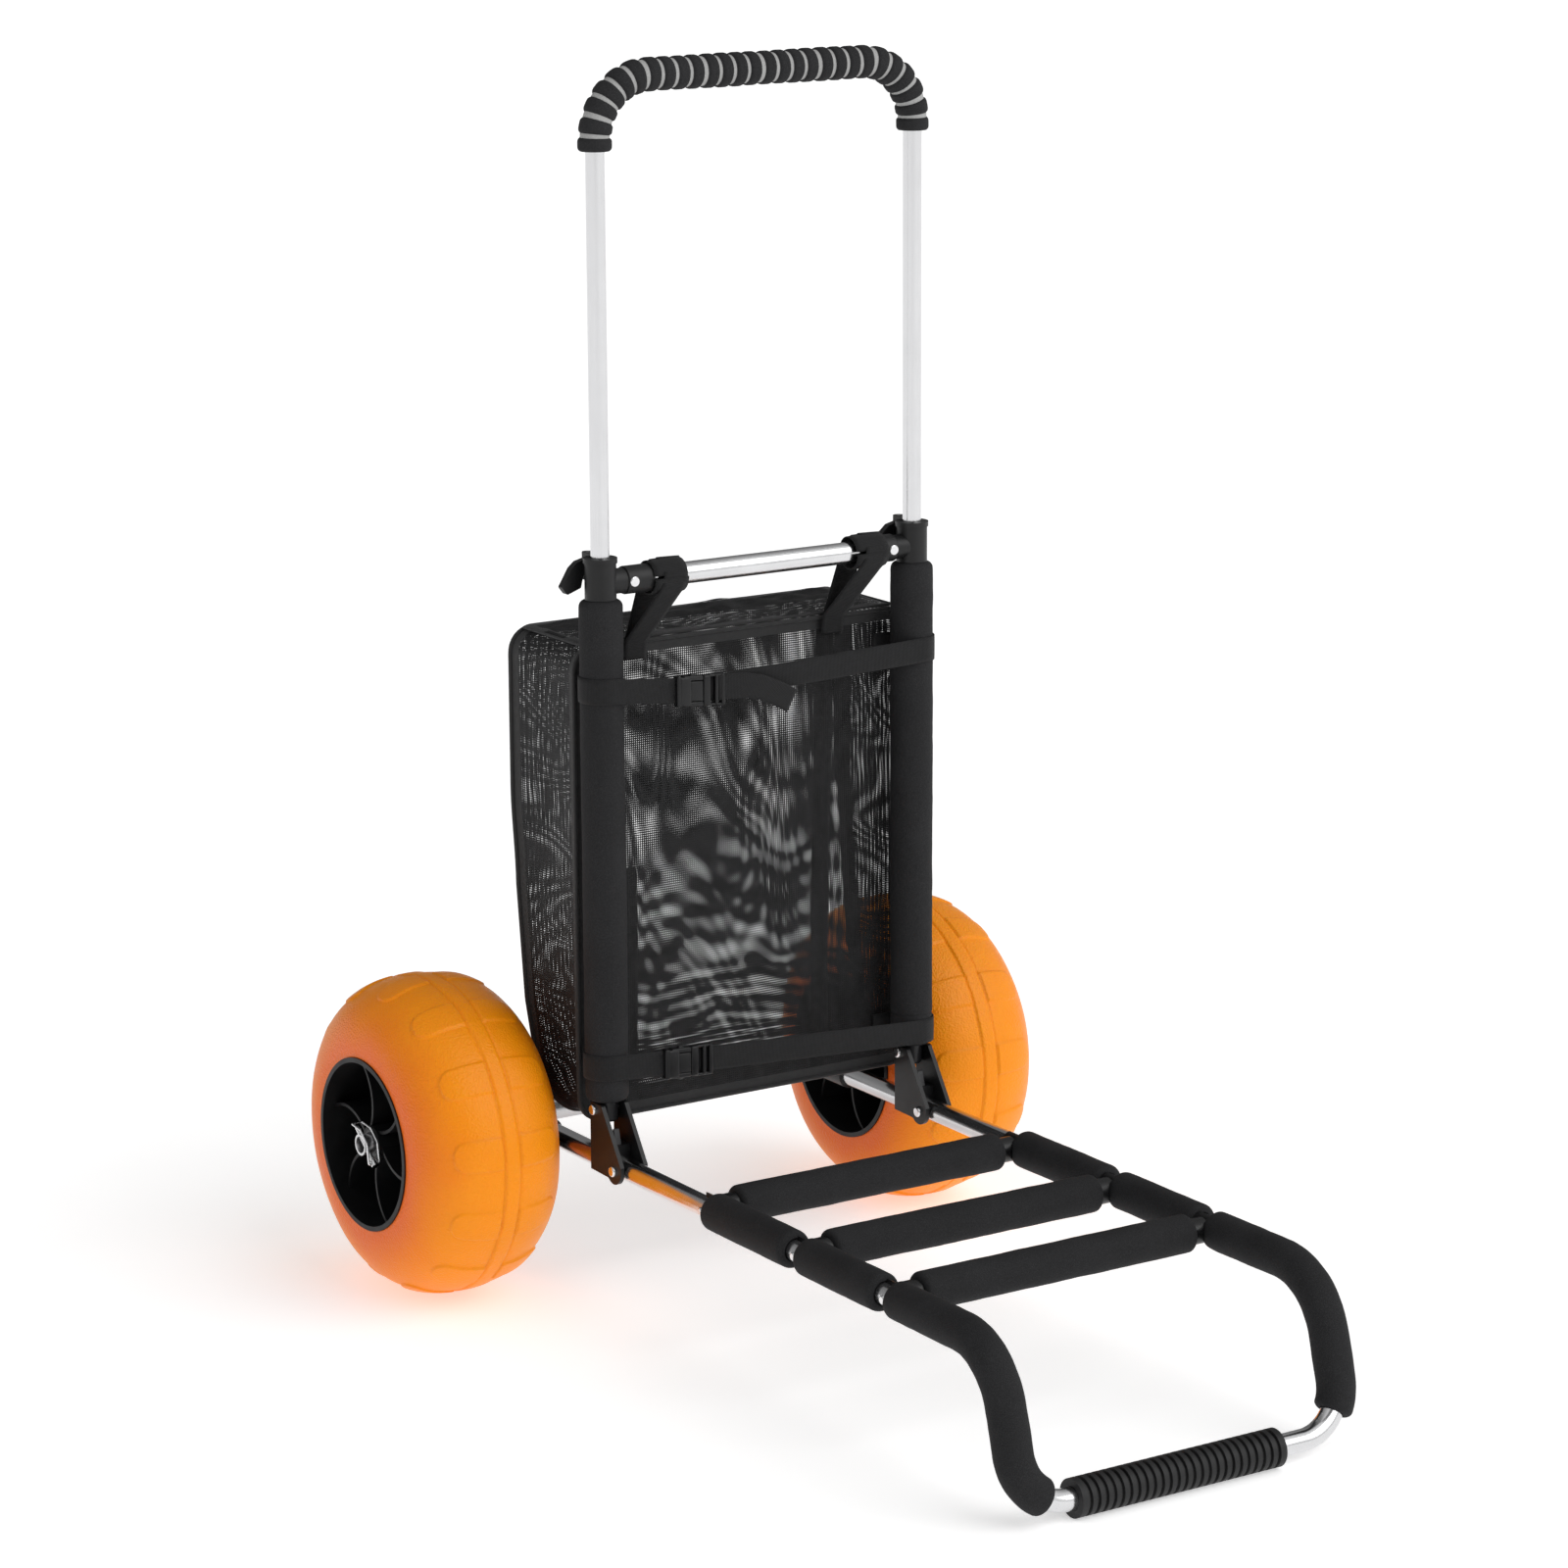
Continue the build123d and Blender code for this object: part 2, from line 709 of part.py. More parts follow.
def lever(s):
    """Cam lever on a vertical pin behind the collar, its tail to the left and down."""
    x = s * frame_x
    pin_y = mast_y + lever_pin_back
    z = pivot_z + lever_up
    with BuildPart() as made:
        with BuildSketch(Plane.XZ.offset(-(pin_y - lever_thickness / 2))):
            with BuildLine():
                Polyline(
                    (x, z + lever_eye_half),
                    (x - 14.0, z + 5.0),
                    (x - 21.0, z - 1.0),
                    (x - 32.0, z - 19.0),
                    (x - 26.0, z - 26.5),
                    (x - 10.5, z - 21.0),
                    (x - 7.5, z - lever_eye_half),
                    (x, z - lever_eye_half),
                    close=True,
                )
            make_face()
        extrude(amount=-lever_thickness)
        corners = made.edges().filter_by(Axis.Y).filter_by(lambda edge: edge.center().X < x - lever_root)
        fillet(corners, 2.0)
        with BuildSketch(Plane.XY.offset(z - lever_eye_half)):
            with Locations((x, pin_y)):
                Circle(lever_eye_radius)
        extrude(amount=2 * lever_eye_half)
        with BuildSketch(Plane.XY.offset(z - lever_eye_half)):
            with Locations((x, pin_y)):
                Circle(lever_pin_radius + slide_gap)
        extrude(amount=3 * lever_eye_half, mode=Mode.SUBTRACT)
    return made.part


# ================= Handle =================


def handle_route(leg_end):
    """Centre line of the handle from one leg end to the other."""
    return (
        (-frame_x, mast_y, pivot_z + leg_end),
        (-frame_x, mast_y, handle_top),
        (frame_x, mast_y, handle_top),
        (frame_x, mast_y, pivot_z + leg_end),
    )


def handle_tube():
    points = handle_route(handle_leg_end)
    with BuildPart() as tube:
        with BuildLine() as route:
            FilletPolyline(*points, radius=handle_bend)
        with BuildSketch(at(points[0], (0, 0, 1))):
            Circle(handle_radius)
            Circle(handle_bore, mode=Mode.SUBTRACT)
        sweep(path=route.wires()[0])
    return tube.part


def grip_sleeve():
    points = handle_route(grip_bottom)
    with BuildPart() as grip:
        with BuildLine() as route:
            FilletPolyline(*points, radius=handle_bend)
        with BuildSketch(at(points[0], (0, 0, 1))):
            Circle(sleeve_radius)
            Circle(handle_radius + skin_gap / 2, mode=Mode.SUBTRACT)
        sweep(path=route.wires()[0])
    return grip.part


def grip_rings():
    """Foam rings strung along the grip sleeve, narrower on the inside of the bends."""
    with BuildLine() as route:
        FilletPolyline(*handle_route(grip_bottom), radius=handle_bend)
    wire = route.wires()[0]
    pitch = (wire.length - ring_width) / (ring_count - 1)
    pieces = []
    for number in range(ring_count):
        first = number * pitch / wire.length
        last = min(first + ring_width / wire.length, 1.0)
        run = wire.trim(first, last)
        with BuildPart() as ring:
            with BuildSketch(at(tuple(run.position_at(0)), tuple(run.tangent_at(0)))):
                Circle(ring_radius)
                Circle(sleeve_radius + slide_gap, mode=Mode.SUBTRACT)
            sweep(path=run)
            fillet(round_ends(ring, ring_radius), ring_round)
        pieces.append(ring.part)
    return group(pieces)


def leg_glides():
    """Plastic glides on the leg ends, running inside the uprights."""
    pieces = []
    for _, s in sides:
        end = pivot_z + handle_leg_end
        with BuildPart() as glide:
            with BuildSketch(at((s * frame_x, mast_y, end - 6.0), (0, 0, 1))):
                Circle(bore_radius - slide_gap)
            extrude(amount=6.0)
            with BuildSketch(at((s * frame_x, mast_y, end), (0, 0, 1))):
                Circle(handle_bore - slide_gap)
            extrude(amount=glide_length)
        pieces.append(glide.part)
    return group(pieces)


# ================= Bag and webbing =================


def bag_profile(inset):
    """Side outline of the bag in Y and Z, cut back at the lower rear."""
    front = mast_y + bag_front + inset
    rear = mast_y + bag_front + bag_depth - inset
    low = pivot_z + bag_bottom + inset
    high = pivot_z + bag_top
    return [
        (front, high),
        (front, low),
        (rear - bag_tuck - inset * 0.4, low),
        (rear, low + bag_tuck + inset * 0.4),
        (rear, high),
    ]


def bag():
    """Open-topped mesh bag, its lower rear edge cut back in a curve."""
    with BuildPart() as made:
        with BuildSketch(Plane.YZ.offset(-bag_half)):
            with BuildLine():
                Polyline(*bag_profile(0), close=True)
            make_face()
        extrude(amount=2 * bag_half)
        upright_edges = made.edges().filter_by(Axis.Z)
        fillet(upright_edges, bag_corner / 3)
        with BuildSketch(Plane.YZ.offset(-bag_half + bag_wall)):
            with BuildLine():
                Polyline(*bag_profile(bag_wall), close=True)
            make_face()
        extrude(amount=2 * (bag_half - bag_wall), mode=Mode.SUBTRACT)
    return made.part


def bag_lid():
    """Zip-round lid of the bag, turning on the bead along its rear edge."""
    bead = lid_thickness / 2
    bead_y = mast_y + bag_front + bag_depth - bead
    floor_z = pivot_z + bag_top + soft_gap
    with BuildPart() as lid:
        with BuildSketch(Plane.XY.offset(floor_z)):
            with Locations((0, bead_y - (bag_depth - bead) / 2)):
                Rectangle(2 * bag_half, bag_depth - bead)
        extrude(amount=lid_thickness)
        fillet(lid.edges().filter_by(Axis.Z).sort_by(Axis.Y)[:2], bag_corner / 3)
        with BuildSketch(Plane.YZ.offset(-bag_half)):
            with Locations((bead_y, floor_z + bead)):
                Circle(bead)
        extrude(amount=2 * bag_half)
    return lid.part


def hanger(x):
    """Hook-and-loop strap over the cross tube, down to the bag's front edge."""
    inner = branch_radius + soft_gap
    outer = inner + 2 * web_thickness
    foot_z = pivot_z + bag_top - 20.0
    front = mast_y + bag_front - soft_gap
    with BuildPart() as made:
        with BuildSketch(at((x - hanger_width / 2, mast_y, branch_z), (1, 0, 0))):
            Circle(outer)
            Circle(inner, mode=Mode.SUBTRACT)
        extrude(amount=hanger_width)
        with BuildSketch(Plane.YZ.offset(x - hanger_foot / 2)):
            with BuildLine():
                Polyline(
                    (mast_y + inner, branch_z),
                    (mast_y + outer, branch_z),
                    (front, pivot_z + bag_top),
                    (front, foot_z),
                    (front - web_thickness, foot_z),
                    (front - web_thickness, pivot_z + bag_top),
                    close=True,
                )
            make_face()
        extrude(amount=hanger_foot)
    return made.part


def strap(which, up):
    """Webbing band across the uprights, hooked round their fronts, parted at the buckle."""
    reach = mast_foam_radius + soft_gap
    middle = pivot_z + up
    side = frame_x + reach
    gap = buckle_length / 2 + soft_gap
    with BuildPart() as band:
        with BuildSketch(Plane.XY.offset(middle - web_width / 2)):
            for _, s in sides:
                with Locations((s * frame_x, mast_y)):
                    Circle(reach + web_thickness)
            with Locations((0, mast_y - reach - web_thickness / 2)):
                Rectangle(2 * frame_x, web_thickness)
            for _, s in sides:
                with Locations((s * frame_x, mast_y)):
                    Circle(reach, mode=Mode.SUBTRACT)
            with Locations((0, mast_y + side / 2 + reach - 8.0)):
                Rectangle(3 * side, side, mode=Mode.SUBTRACT)
            for _, s in sides:
                with Locations((s * (frame_x - side / 2), mast_y)):
                    Rectangle(side, 2 * reach - 2.0, mode=Mode.SUBTRACT)
            with Locations((buckle_x[which], mast_y - reach)):
                Rectangle(2 * gap, 4 * web_thickness, mode=Mode.SUBTRACT)
        extrude(amount=web_width)
    return band.part


def buckle_half(which, up, s):
    """Socket (left) or plug (right) half of a side-release buckle."""
    reach = mast_foam_radius + soft_gap + web_thickness / 2
    x = buckle_x[which]
    low = pivot_z + up - buckle_width / 2
    half = buckle_length / 2 - 0.2
    with BuildPart() as made:
        with BuildSketch(Plane.XY.offset(low)):
            with Locations((x + s * (half / 2 + 0.1), mast_y - reach)):
                Rectangle(half, buckle_thickness)
        extrude(amount=buckle_width)
        fillet(made.edges().filter_by(Axis.Z), 2.0)
    return made.part


def strap_tail():
    """Loose end of the upper strap, hanging off the buckle."""
    x = buckle_x["upper"] + buckle_length / 2 + soft_gap
    y = mast_y - mast_foam_radius - buckle_thickness / 2 - 1.5
    top = pivot_z + upper_strap_up + web_width / 2
    with BuildPart() as tail:
        with BuildSketch(Plane.XZ.offset(-(y - web_thickness))):
            with BuildLine():
                Polyline(
                    (x, top),
                    (x + tail_length * 0.55, top - 2.0),
                    (x + tail_length, top - tail_drop),
                    (x + tail_length - 8.0, top - tail_drop - web_width),
                    (x + tail_length * 0.5, top - 2.0 - web_width),
                    (x, top - web_width),
                    close=True,
                )
            make_face()
        extrude(amount=web_thickness)
    return tail.part


# ================= Wheels =================


def crown(half, top, foot, steps=14):
    """Rounded balloon section: points from the inner bead to the outer bead."""
    points = []
    for number in range(-steps, steps + 1):
        share = number / steps
        x = math.sin(share * math.pi / 2)
        height = (1 - abs(x) ** 2.4) ** (1 / 2.4)
        points.append((x * half, foot + (top - foot) * height))
    return points


def tyre(s):
    """Blown balloon tyre, hollow, open at the bore that the rim closes."""
    half = wheel_width / 2
    centre = s * wheel_x
    outer = crown(half, wheel_radius, rim_radius)
    inner = crown(half - tyre_wall, wheel_radius - tyre_wall, rim_radius + tyre_wall)
    face = Plane(origin=(centre, axle_y, axle_z), x_dir=(1, 0, 0), z_dir=(0, -1, 0))
    with BuildPart() as made:
        with BuildSketch(face):
            with BuildLine():
                Spline(*outer)
                Line(outer[-1], (half - 12.0, rim_radius))
                Line((half - 12.0, rim_radius), (half - 12.0, inner[-1][1]))
                Line((half - 12.0, inner[-1][1]), inner[-1])
                Spline(*reversed(inner))
                Line(inner[0], (-half + 12.0, inner[0][1]))
                Line((-half + 12.0, inner[0][1]), (-half + 12.0, rim_radius))
                Line((-half + 12.0, rim_radius), outer[0])
            make_face()
        revolve(axis=Axis((centre, axle_y, axle_z), (1, 0, 0)))
    return made.part


def rim(s):
    """Moulded rim: barrel with lips, middle web, hub and six bowed ribs each side."""
    half = wheel_width / 2
    centre = s * wheel_x
    barrel = rim_radius - 0.1
    face = Plane(origin=(centre, axle_y, axle_z), x_dir=(1, 0, 0), z_dir=(0, -1, 0))
    with BuildPart() as made:
        with BuildSketch(face):
            with Locations((0, (barrel + rim_barrel_radius) / 2)):
                Rectangle(2 * half, barrel - rim_barrel_radius)
            with Locations((0, (rim_barrel_radius + hub_radius) / 2)):
                Rectangle(2 * web_half, rim_barrel_radius - hub_radius + 1)
            with Locations((0, (hub_radius + bush_radius) / 2)):
                Rectangle(2 * hub_face, hub_radius - bush_radius)
            with Locations((0, (bush_radius + axle_radius + 1) / 2)):
                Rectangle(2 * (hub_face - bush_length), bush_radius - axle_radius - 1)
        revolve(axis=Axis((centre, axle_y, axle_z), (1, 0, 0)))
        depth = half - rib_in
        middle = (hub_radius + rim_barrel_radius) / 2
        for number in range(rib_count):
            turn = 360.0 * number / rib_count + 8.0
            spoke = Plane(
                origin=(centre - depth, axle_y, axle_z),
                x_dir=(0, math.cos(math.radians(turn)), math.sin(math.radians(turn))),
                z_dir=(1, 0, 0),
            )
            with BuildSketch(spoke):
                with BuildLine() as bow:
                    start = (hub_radius - 1, 0)
                    ThreePointArc(start, (middle, rib_bow), (rim_barrel_radius + 1, rib_bow * 0.4))
                trace(bow.line, line_width=rib_thickness)
            extrude(amount=2 * depth)
    return made.part


def hub_bushes(s):
    """Flanged bushes pressed into both ends of the hub, running on the axle."""
    pieces = []
    for end in (-1, 1):
        face = s * wheel_x + end * hub_face
        start = (face, axle_y, axle_z)
        pieces.append(sleeve(start, (-end, 0, 0), bush_length, bush_radius, axle_radius + slide_gap))
    return group(pieces)


# ================= Linchpins =================


def linchpin(s):
    """Pin through the axle's end, its head at the lower front."""
    along = pin_axis()
    centre = Vector(s * (axle_half - pin_in), axle_y, axle_z)
    tail = centre - along * (pin_length / 2 - 4.0)
    with BuildPart() as pin:
        with BuildSketch(at(tuple(tail), tuple(along))):
            Circle(pin_radius)
        extrude(amount=pin_length - 8.0)
        tip = round_ends(pin, pin_radius)
        fillet(tip.sort_by(lambda edge: (edge.center() - tail).length)[-1], 1.2)
        with BuildSketch(at(tuple(tail), tuple(along))):
            Circle(pin_head_radius)
        extrude(amount=-pin_head_length)
        with BuildSketch(at(tuple(centre - along * bail_foot), (1, 0, 0))):
            Circle(ring_wire + slide_gap)
        extrude(amount=2 * pin_head_radius, both=True, mode=Mode.SUBTRACT)
    return pin.part


def linchpin_ring(s):
    """Square wire bail on the pin's head, snapped round the axle and over the pin's tip."""
    along = pin_axis()
    across = Vector(0, -along.Z, along.Y)
    centre = Vector(s * (axle_half - pin_in), axle_y, axle_z)
    foot = centre - along * bail_foot
    tip = centre + along * (pin_length / 2 - 2.0) + across * (pin_radius + ring_wire + 0.3)
    clear = across * (axle_radius + ring_wire + 1.5)
    run = along * (axle_radius - 2.0)
    side = Vector(ring_half, 0, 0)
    inward = Vector(ring_half - 3.5, 0, 0)
    points = [
        foot - inward,
        foot - side,
        centre - run + clear - side,
        centre + run + clear - side,
        tip - side,
        tip + side,
        centre + run + clear + side,
        centre - run + clear + side,
        foot + side,
        foot + inward,
    ]
    with BuildPart() as ring:
        with BuildLine() as route:
            FilletPolyline(*[tuple(point) for point in points], radius=2.0)
        with BuildSketch(at(tuple(points[0]), tuple((points[1] - points[0]).normalized()))):
            Circle(ring_wire)
        sweep(path=route.wires()[0])
    return ring.part


# ================= Write every piece =================

save(axle_tube(), "axle_tube")
save(front_loop(), "front_loop")
save(bar_grip(), "bar_grip")
save(deck_screws(), "deck_screws")
save(axle_collars(), "axle_collars")
save(fold_clips(), "fold_clips")
save(group([deck_tube(y) for y in deck_ys]), "deck_tubes")
bolts, nuts = bracket_fasteners()
save(bolts, "bracket_bolts")
save(nuts, "bracket_nuts")
for number, y in enumerate(deck_ys, start=1):
    save(deck_foam(y), f"deck_foam_{number}")

save(cross_tube(), "cross_tube")
save(tee_rivets(), "tee_rivets")
save(lever_pins(), "lever_pins")
save(upright_plugs(), "upright_plugs")
save(bag(), "bag")
save(bag_lid(), "bag_lid")
save(strap("upper", upper_strap_up), "upper_strap")
save(strap("lower", lower_strap_up), "lower_strap")
save(strap_tail(), "strap_tail")
for name, s in (("buckle_sockets", -1), ("buckle_plugs", 1)):
    halves = [buckle_half("upper", upper_strap_up, s), buckle_half("lower", lower_strap_up, s)]
    save(group(halves), name)

save(handle_tube(), "handle_tube")
save(grip_sleeve(), "grip_sleeve")
save(grip_rings(), "grip_rings")
save(leg_glides(), "leg_glides")

for side, s in sides:
    save(axle_saddle(s), "axle_saddle_" + side)
    save(side_rail(s), "side_rail_" + side)
    save(group([deck_saddle(s, y) for y in deck_ys]), "deck_saddles_" + side)
    foams = [rail_foam(s, rear, front) for rear, front in zip(deck_ys, deck_ys[1:])]
    save(group(foams), "rail_foams_" + side)
    save(loop_foam(side, s), "loop_foam_" + side)
    save(fold_bracket(s), "fold_bracket_" + side)
    save(upright_tube(s), "upright_tube_" + side)
    save(upright_foam(s), "upright_foam_" + side)
    save(tee(s), "tee_" + side)
    save(lever(s), "lever_" + side)
    save(tyre(s), "tyre_" + side)
    save(rim(s), "rim_" + side)
    save(hub_bushes(s), "hub_bushes_" + side)
    save(linchpin(s), "linchpin_" + side)
    save(linchpin_ring(s), "linchpin_ring_" + side)
for side, x in zip(("left", "right"), hanger_x):
    save(hanger(x), "hanger_" + side)

print(len(saved), "nodes")
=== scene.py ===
import math

import bmesh
import bpy
import numpy as np
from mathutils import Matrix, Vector, noise


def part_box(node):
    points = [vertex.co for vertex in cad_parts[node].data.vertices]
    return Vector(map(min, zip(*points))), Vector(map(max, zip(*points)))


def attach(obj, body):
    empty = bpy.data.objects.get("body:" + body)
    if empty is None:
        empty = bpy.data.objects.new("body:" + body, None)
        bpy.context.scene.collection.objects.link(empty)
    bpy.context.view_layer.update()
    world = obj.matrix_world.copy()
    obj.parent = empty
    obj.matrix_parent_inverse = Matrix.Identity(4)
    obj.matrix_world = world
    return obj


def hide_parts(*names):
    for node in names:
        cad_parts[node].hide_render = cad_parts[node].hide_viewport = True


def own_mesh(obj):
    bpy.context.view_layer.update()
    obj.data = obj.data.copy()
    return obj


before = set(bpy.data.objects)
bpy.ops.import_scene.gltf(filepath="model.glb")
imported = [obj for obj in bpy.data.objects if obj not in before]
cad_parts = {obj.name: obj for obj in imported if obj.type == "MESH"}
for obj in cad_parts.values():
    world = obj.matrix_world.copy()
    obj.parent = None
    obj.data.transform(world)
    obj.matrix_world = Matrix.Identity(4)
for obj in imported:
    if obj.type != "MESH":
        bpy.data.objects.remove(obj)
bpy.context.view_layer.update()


# ================= Places read from the frame =================


def span(node):
    low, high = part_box(node)
    return Vector(low), Vector(high), (Vector(low) + Vector(high)) / 2


up_low, up_high, up_mid = span("upright_tube_right")
mast_y = up_mid.y
frame_x = up_mid.x
tube_r = (up_high.x - up_low.x) / 2
rail_z = span("side_rail_right")[2].z
bag_low, bag_high, _ = span("bag")
lid_high = span("bag_lid")[1]
foam_r = (span("deck_foam_1")[1].z - span("deck_foam_1")[0].z) / 2
deck_ys = [span(f"deck_foam_{n}")[2].y for n in (1, 2, 3)]
mast_foam_r = (span("upright_foam_right")[1].x - span("upright_foam_right")[0].x) / 2
sides = (("left", -1), ("right", 1))


# ================= Materials =================


class Nodes:
    """Small helper that builds a node tree."""

    def __init__(self, name):
        self.material = bpy.data.materials.new(name)
        self.material.use_nodes = True
        self.tree = self.material.node_tree
        self.tree.nodes.clear()
        self.out = self.tree.nodes.new("ShaderNodeOutputMaterial")
        self.shader = self.tree.nodes.new("ShaderNodeBsdfPrincipled")
        self.link(self.shader.outputs[0], self.out.inputs["Surface"])

    def link(self, a, b):
        self.tree.links.new(a, b)

    def node(self, kind, **values):
        made = self.tree.nodes.new(kind)
        for key, value in values.items():
            if hasattr(made, key):
                setattr(made, key, value)
            else:
                made.inputs[key.replace("_", " ")].default_value = value
        return made

    def put(self, made, key, value):
        """A socket gets a link or a number."""
        if isinstance(value, bpy.types.NodeSocket):
            self.link(value, made.inputs[key])
        else:
            made.inputs[key].default_value = value

    def math(self, kind, a, b=0.0, clamp=False):
        made = self.tree.nodes.new("ShaderNodeMath")
        made.operation = kind
        made.use_clamp = clamp
        self.put(made, 0, a)
        self.put(made, 1, b)
        return made.outputs[0]

    def coords(self, kind="Object", scale=(1, 1, 1)):
        if kind == "UV":
            source = self.tree.nodes.new("ShaderNodeUVMap")
            source.uv_map = "cloth"
            out = source.outputs[0]
        else:
            out = self.tree.nodes.new("ShaderNodeTexCoord").outputs[kind]
        place = self.tree.nodes.new("ShaderNodeMapping")
        place.inputs["Scale"].default_value = scale
        self.link(out, place.inputs["Vector"])
        return place.outputs[0]

    def noise(self, vector, scale, detail=3.0, rough=0.55, distortion=0.0):
        made = self.tree.nodes.new("ShaderNodeTexNoise")
        self.link(vector, made.inputs["Vector"])
        made.inputs["Scale"].default_value = scale
        made.inputs["Detail"].default_value = detail
        made.inputs["Roughness"].default_value = rough
        made.inputs["Distortion"].default_value = distortion
        return made.outputs["Fac"]

    def voronoi(self, vector, scale, feature="F1"):
        made = self.tree.nodes.new("ShaderNodeTexVoronoi")
        made.feature = feature
        self.link(vector, made.inputs["Vector"])
        made.inputs["Scale"].default_value = scale
        return made.outputs["Distance"]

    def ramp(self, value, *stops):
        """Map a value through grey or colour stops."""
        made = self.tree.nodes.new("ShaderNodeValToRGB")
        bar = made.color_ramp
        while len(bar.elements) < len(stops):
            bar.elements.new(0.5)
        for element, (place, colour) in zip(bar.elements, stops):
            element.position = place
            element.color = colour if len(colour) == 4 else (*colour, 1)
        self.link(value, made.inputs[0])
        return made.outputs[0]

    def grey(self, value, low, high, start=0.3, end=0.7):
        made = self.tree.nodes.new("ShaderNodeMapRange")
        self.put(made, 0, value)
        made.inputs[1].default_value = start
        made.inputs[2].default_value = end
        made.inputs[3].default_value = low
        made.inputs[4].default_value = high
        return made.outputs[0]

    def bump(self, height, distance, strength=1.0, after=None):
        made = self.tree.nodes.new("ShaderNodeBump")
        made.inputs["Strength"].default_value = strength
        made.inputs["Distance"].default_value = distance
        self.link(height, made.inputs["Height"])
        if after is not None:
            self.link(after, made.inputs["Normal"])
        return made.outputs[0]

    def finish(self, colour, rough, normal=None, metal=0.0, alpha=None, **numbers):
        self.put(self.shader, "Base Color", colour)
        self.put(self.shader, "Roughness", rough)
        self.shader.inputs["Metallic"].default_value = metal
        if normal is not None:
            self.link(normal, self.shader.inputs["Normal"])
        if alpha is not None:
            self.put(self.shader, "Alpha", alpha)
        for key, value in numbers.items():
            self.shader.inputs[key.replace("_", " ")].default_value = value
        return self.material


def foam_material(name="foam_black", light=1.0):
    """Closed-cell foam: charcoal, tiny open cells on the cut skin, faint rubbed patches."""
    m = Nodes(name)
    v = m.coords()
    cells = m.voronoi(v, 900)
    fine = m.noise(v, 1600, 2.0)
    patch = m.noise(v, 18, 3.0)
    speck = m.grey(fine, 0.0, 1.0, 0.45, 0.7)
    shade = m.math("ADD", m.math("MULTIPLY", speck, 0.45), m.math("MULTIPLY", patch, 0.55))
    colour = m.ramp(
        shade,
        (0.25, (0.0065 * light, 0.0065 * light, 0.0070 * light)),
        (0.75, (0.019 * light, 0.019 * light, 0.020 * light)),
    )
    rough = m.grey(patch, 0.74, 0.9)
    normal = m.bump(cells, 0.0004, 0.45, m.bump(fine, 0.0003, 0.5))
    return m.finish(colour, rough, normal, Specular_IOR_Level=0.22)


def grip_grey_material():
    m = Nodes("grip_light_grey")
    v = m.coords()
    fine = m.noise(v, 1300, 2.0)
    colour = m.ramp(fine, (0.3, (0.30, 0.30, 0.30)), (0.75, (0.47, 0.47, 0.46)))
    return m.finish(colour, 0.8, m.bump(fine, 0.0003, 0.5))


def metal_material(name, base, rough, stretch=(1, 1, 1), grain=0.12):
    """Anodised aluminium or plated steel with faint drawing lines and handling marks."""
    m = Nodes(name)
    lines = m.noise(m.coords(scale=stretch), 700, 3.0, 0.6)
    marks = m.noise(m.coords(), 30, 4.0, 0.6)
    shade = m.math("ADD", m.math("MULTIPLY", lines, 0.5), m.math("MULTIPLY", marks, 0.5))
    dark = tuple(c * 0.86 for c in base)
    colour = m.ramp(shade, (0.3, dark), (0.7, base))
    spread = m.grey(shade, rough - grain / 2, rough + grain / 2)
    return m.finish(colour, spread, m.bump(lines, 0.000006, 0.3), metal=1.0)


def moulded_material(name, base, rough, grain=900):
    """Moulded plastic: fine spark-eroded grain, slightly uneven gloss, worn lighter specks."""
    m = Nodes(name)
    v = m.coords()
    fine = m.noise(v, grain, 2.0)
    patch = m.noise(v, 40, 4.0, 0.6)
    dark = tuple(c * 0.8 for c in base)
    light = tuple(c * 1.35 for c in base)
    colour = m.ramp(patch, (0.3, dark), (0.72, light))
    spread = m.grey(patch, rough - 0.07, rough + 0.07)
    return m.finish(colour, spread, m.bump(fine, 0.00025, 0.4), Specular_IOR_Level=0.32)


def webbing_material(name="webbing_black"):
    """Woven polyester webbing: ribs across the band and diagonal yarns."""
    m = Nodes(name)
    v = m.coords("UV")
    split = m.node("ShaderNodeSeparateXYZ")
    m.link(v, split.inputs[0])
    u, w = split.outputs[0], split.outputs[1]
    turn = 2 * math.pi / 0.0016
    rib = m.math("SINE", m.math("MULTIPLY", u, turn))
    yarn = m.math("SINE", m.math("MULTIPLY", m.math("ADD", m.math("MULTIPLY", u, 0.5), w), turn))
    height = m.math("ADD", m.math("MULTIPLY", rib, 0.5), m.math("MULTIPLY", yarn, 0.5))
    fluff = m.noise(m.coords(), 220, 3.0)
    shade = m.math("ADD", m.math("MULTIPLY", height, 0.18), fluff)
    colour = m.ramp(shade, (0.3, (0.0050, 0.0050, 0.0054)), (0.8, (0.017, 0.017, 0.018)))
    return m.finish(
        colour,
        m.grey(fluff, 0.62, 0.82),
        m.bump(height, 0.0003, 0.6),
        Sheen_Weight=0.06,
        Sheen_Roughness=0.5,
        Specular_IOR_Level=0.22,
    )


def cloth_material(name="binding_black"):
    """Plain dense weave for bindings and tapes."""
    m = Nodes(name)
    v = m.coords("UV")
    split = m.node("ShaderNodeSeparateXYZ")
    m.link(v, split.inputs[0])
    turn = 2 * math.pi / 0.0012
    across = m.math("SINE", m.math("MULTIPLY", split.outputs[0], turn))
    along = m.math("SINE", m.math("MULTIPLY", split.outputs[1], turn))
    height = m.math("MULTIPLY", across, along)
    fluff = m.noise(m.coords(), 160, 3.0)
    colour = m.ramp(fluff, (0.3, (0.0050, 0.0050, 0.0054)), (0.75, (0.014, 0.014, 0.015)))
    return m.finish(colour, m.grey(fluff, 0.6, 0.8), m.bump(height, 0.0002, 0.6), Sheen_Weight=0.1)


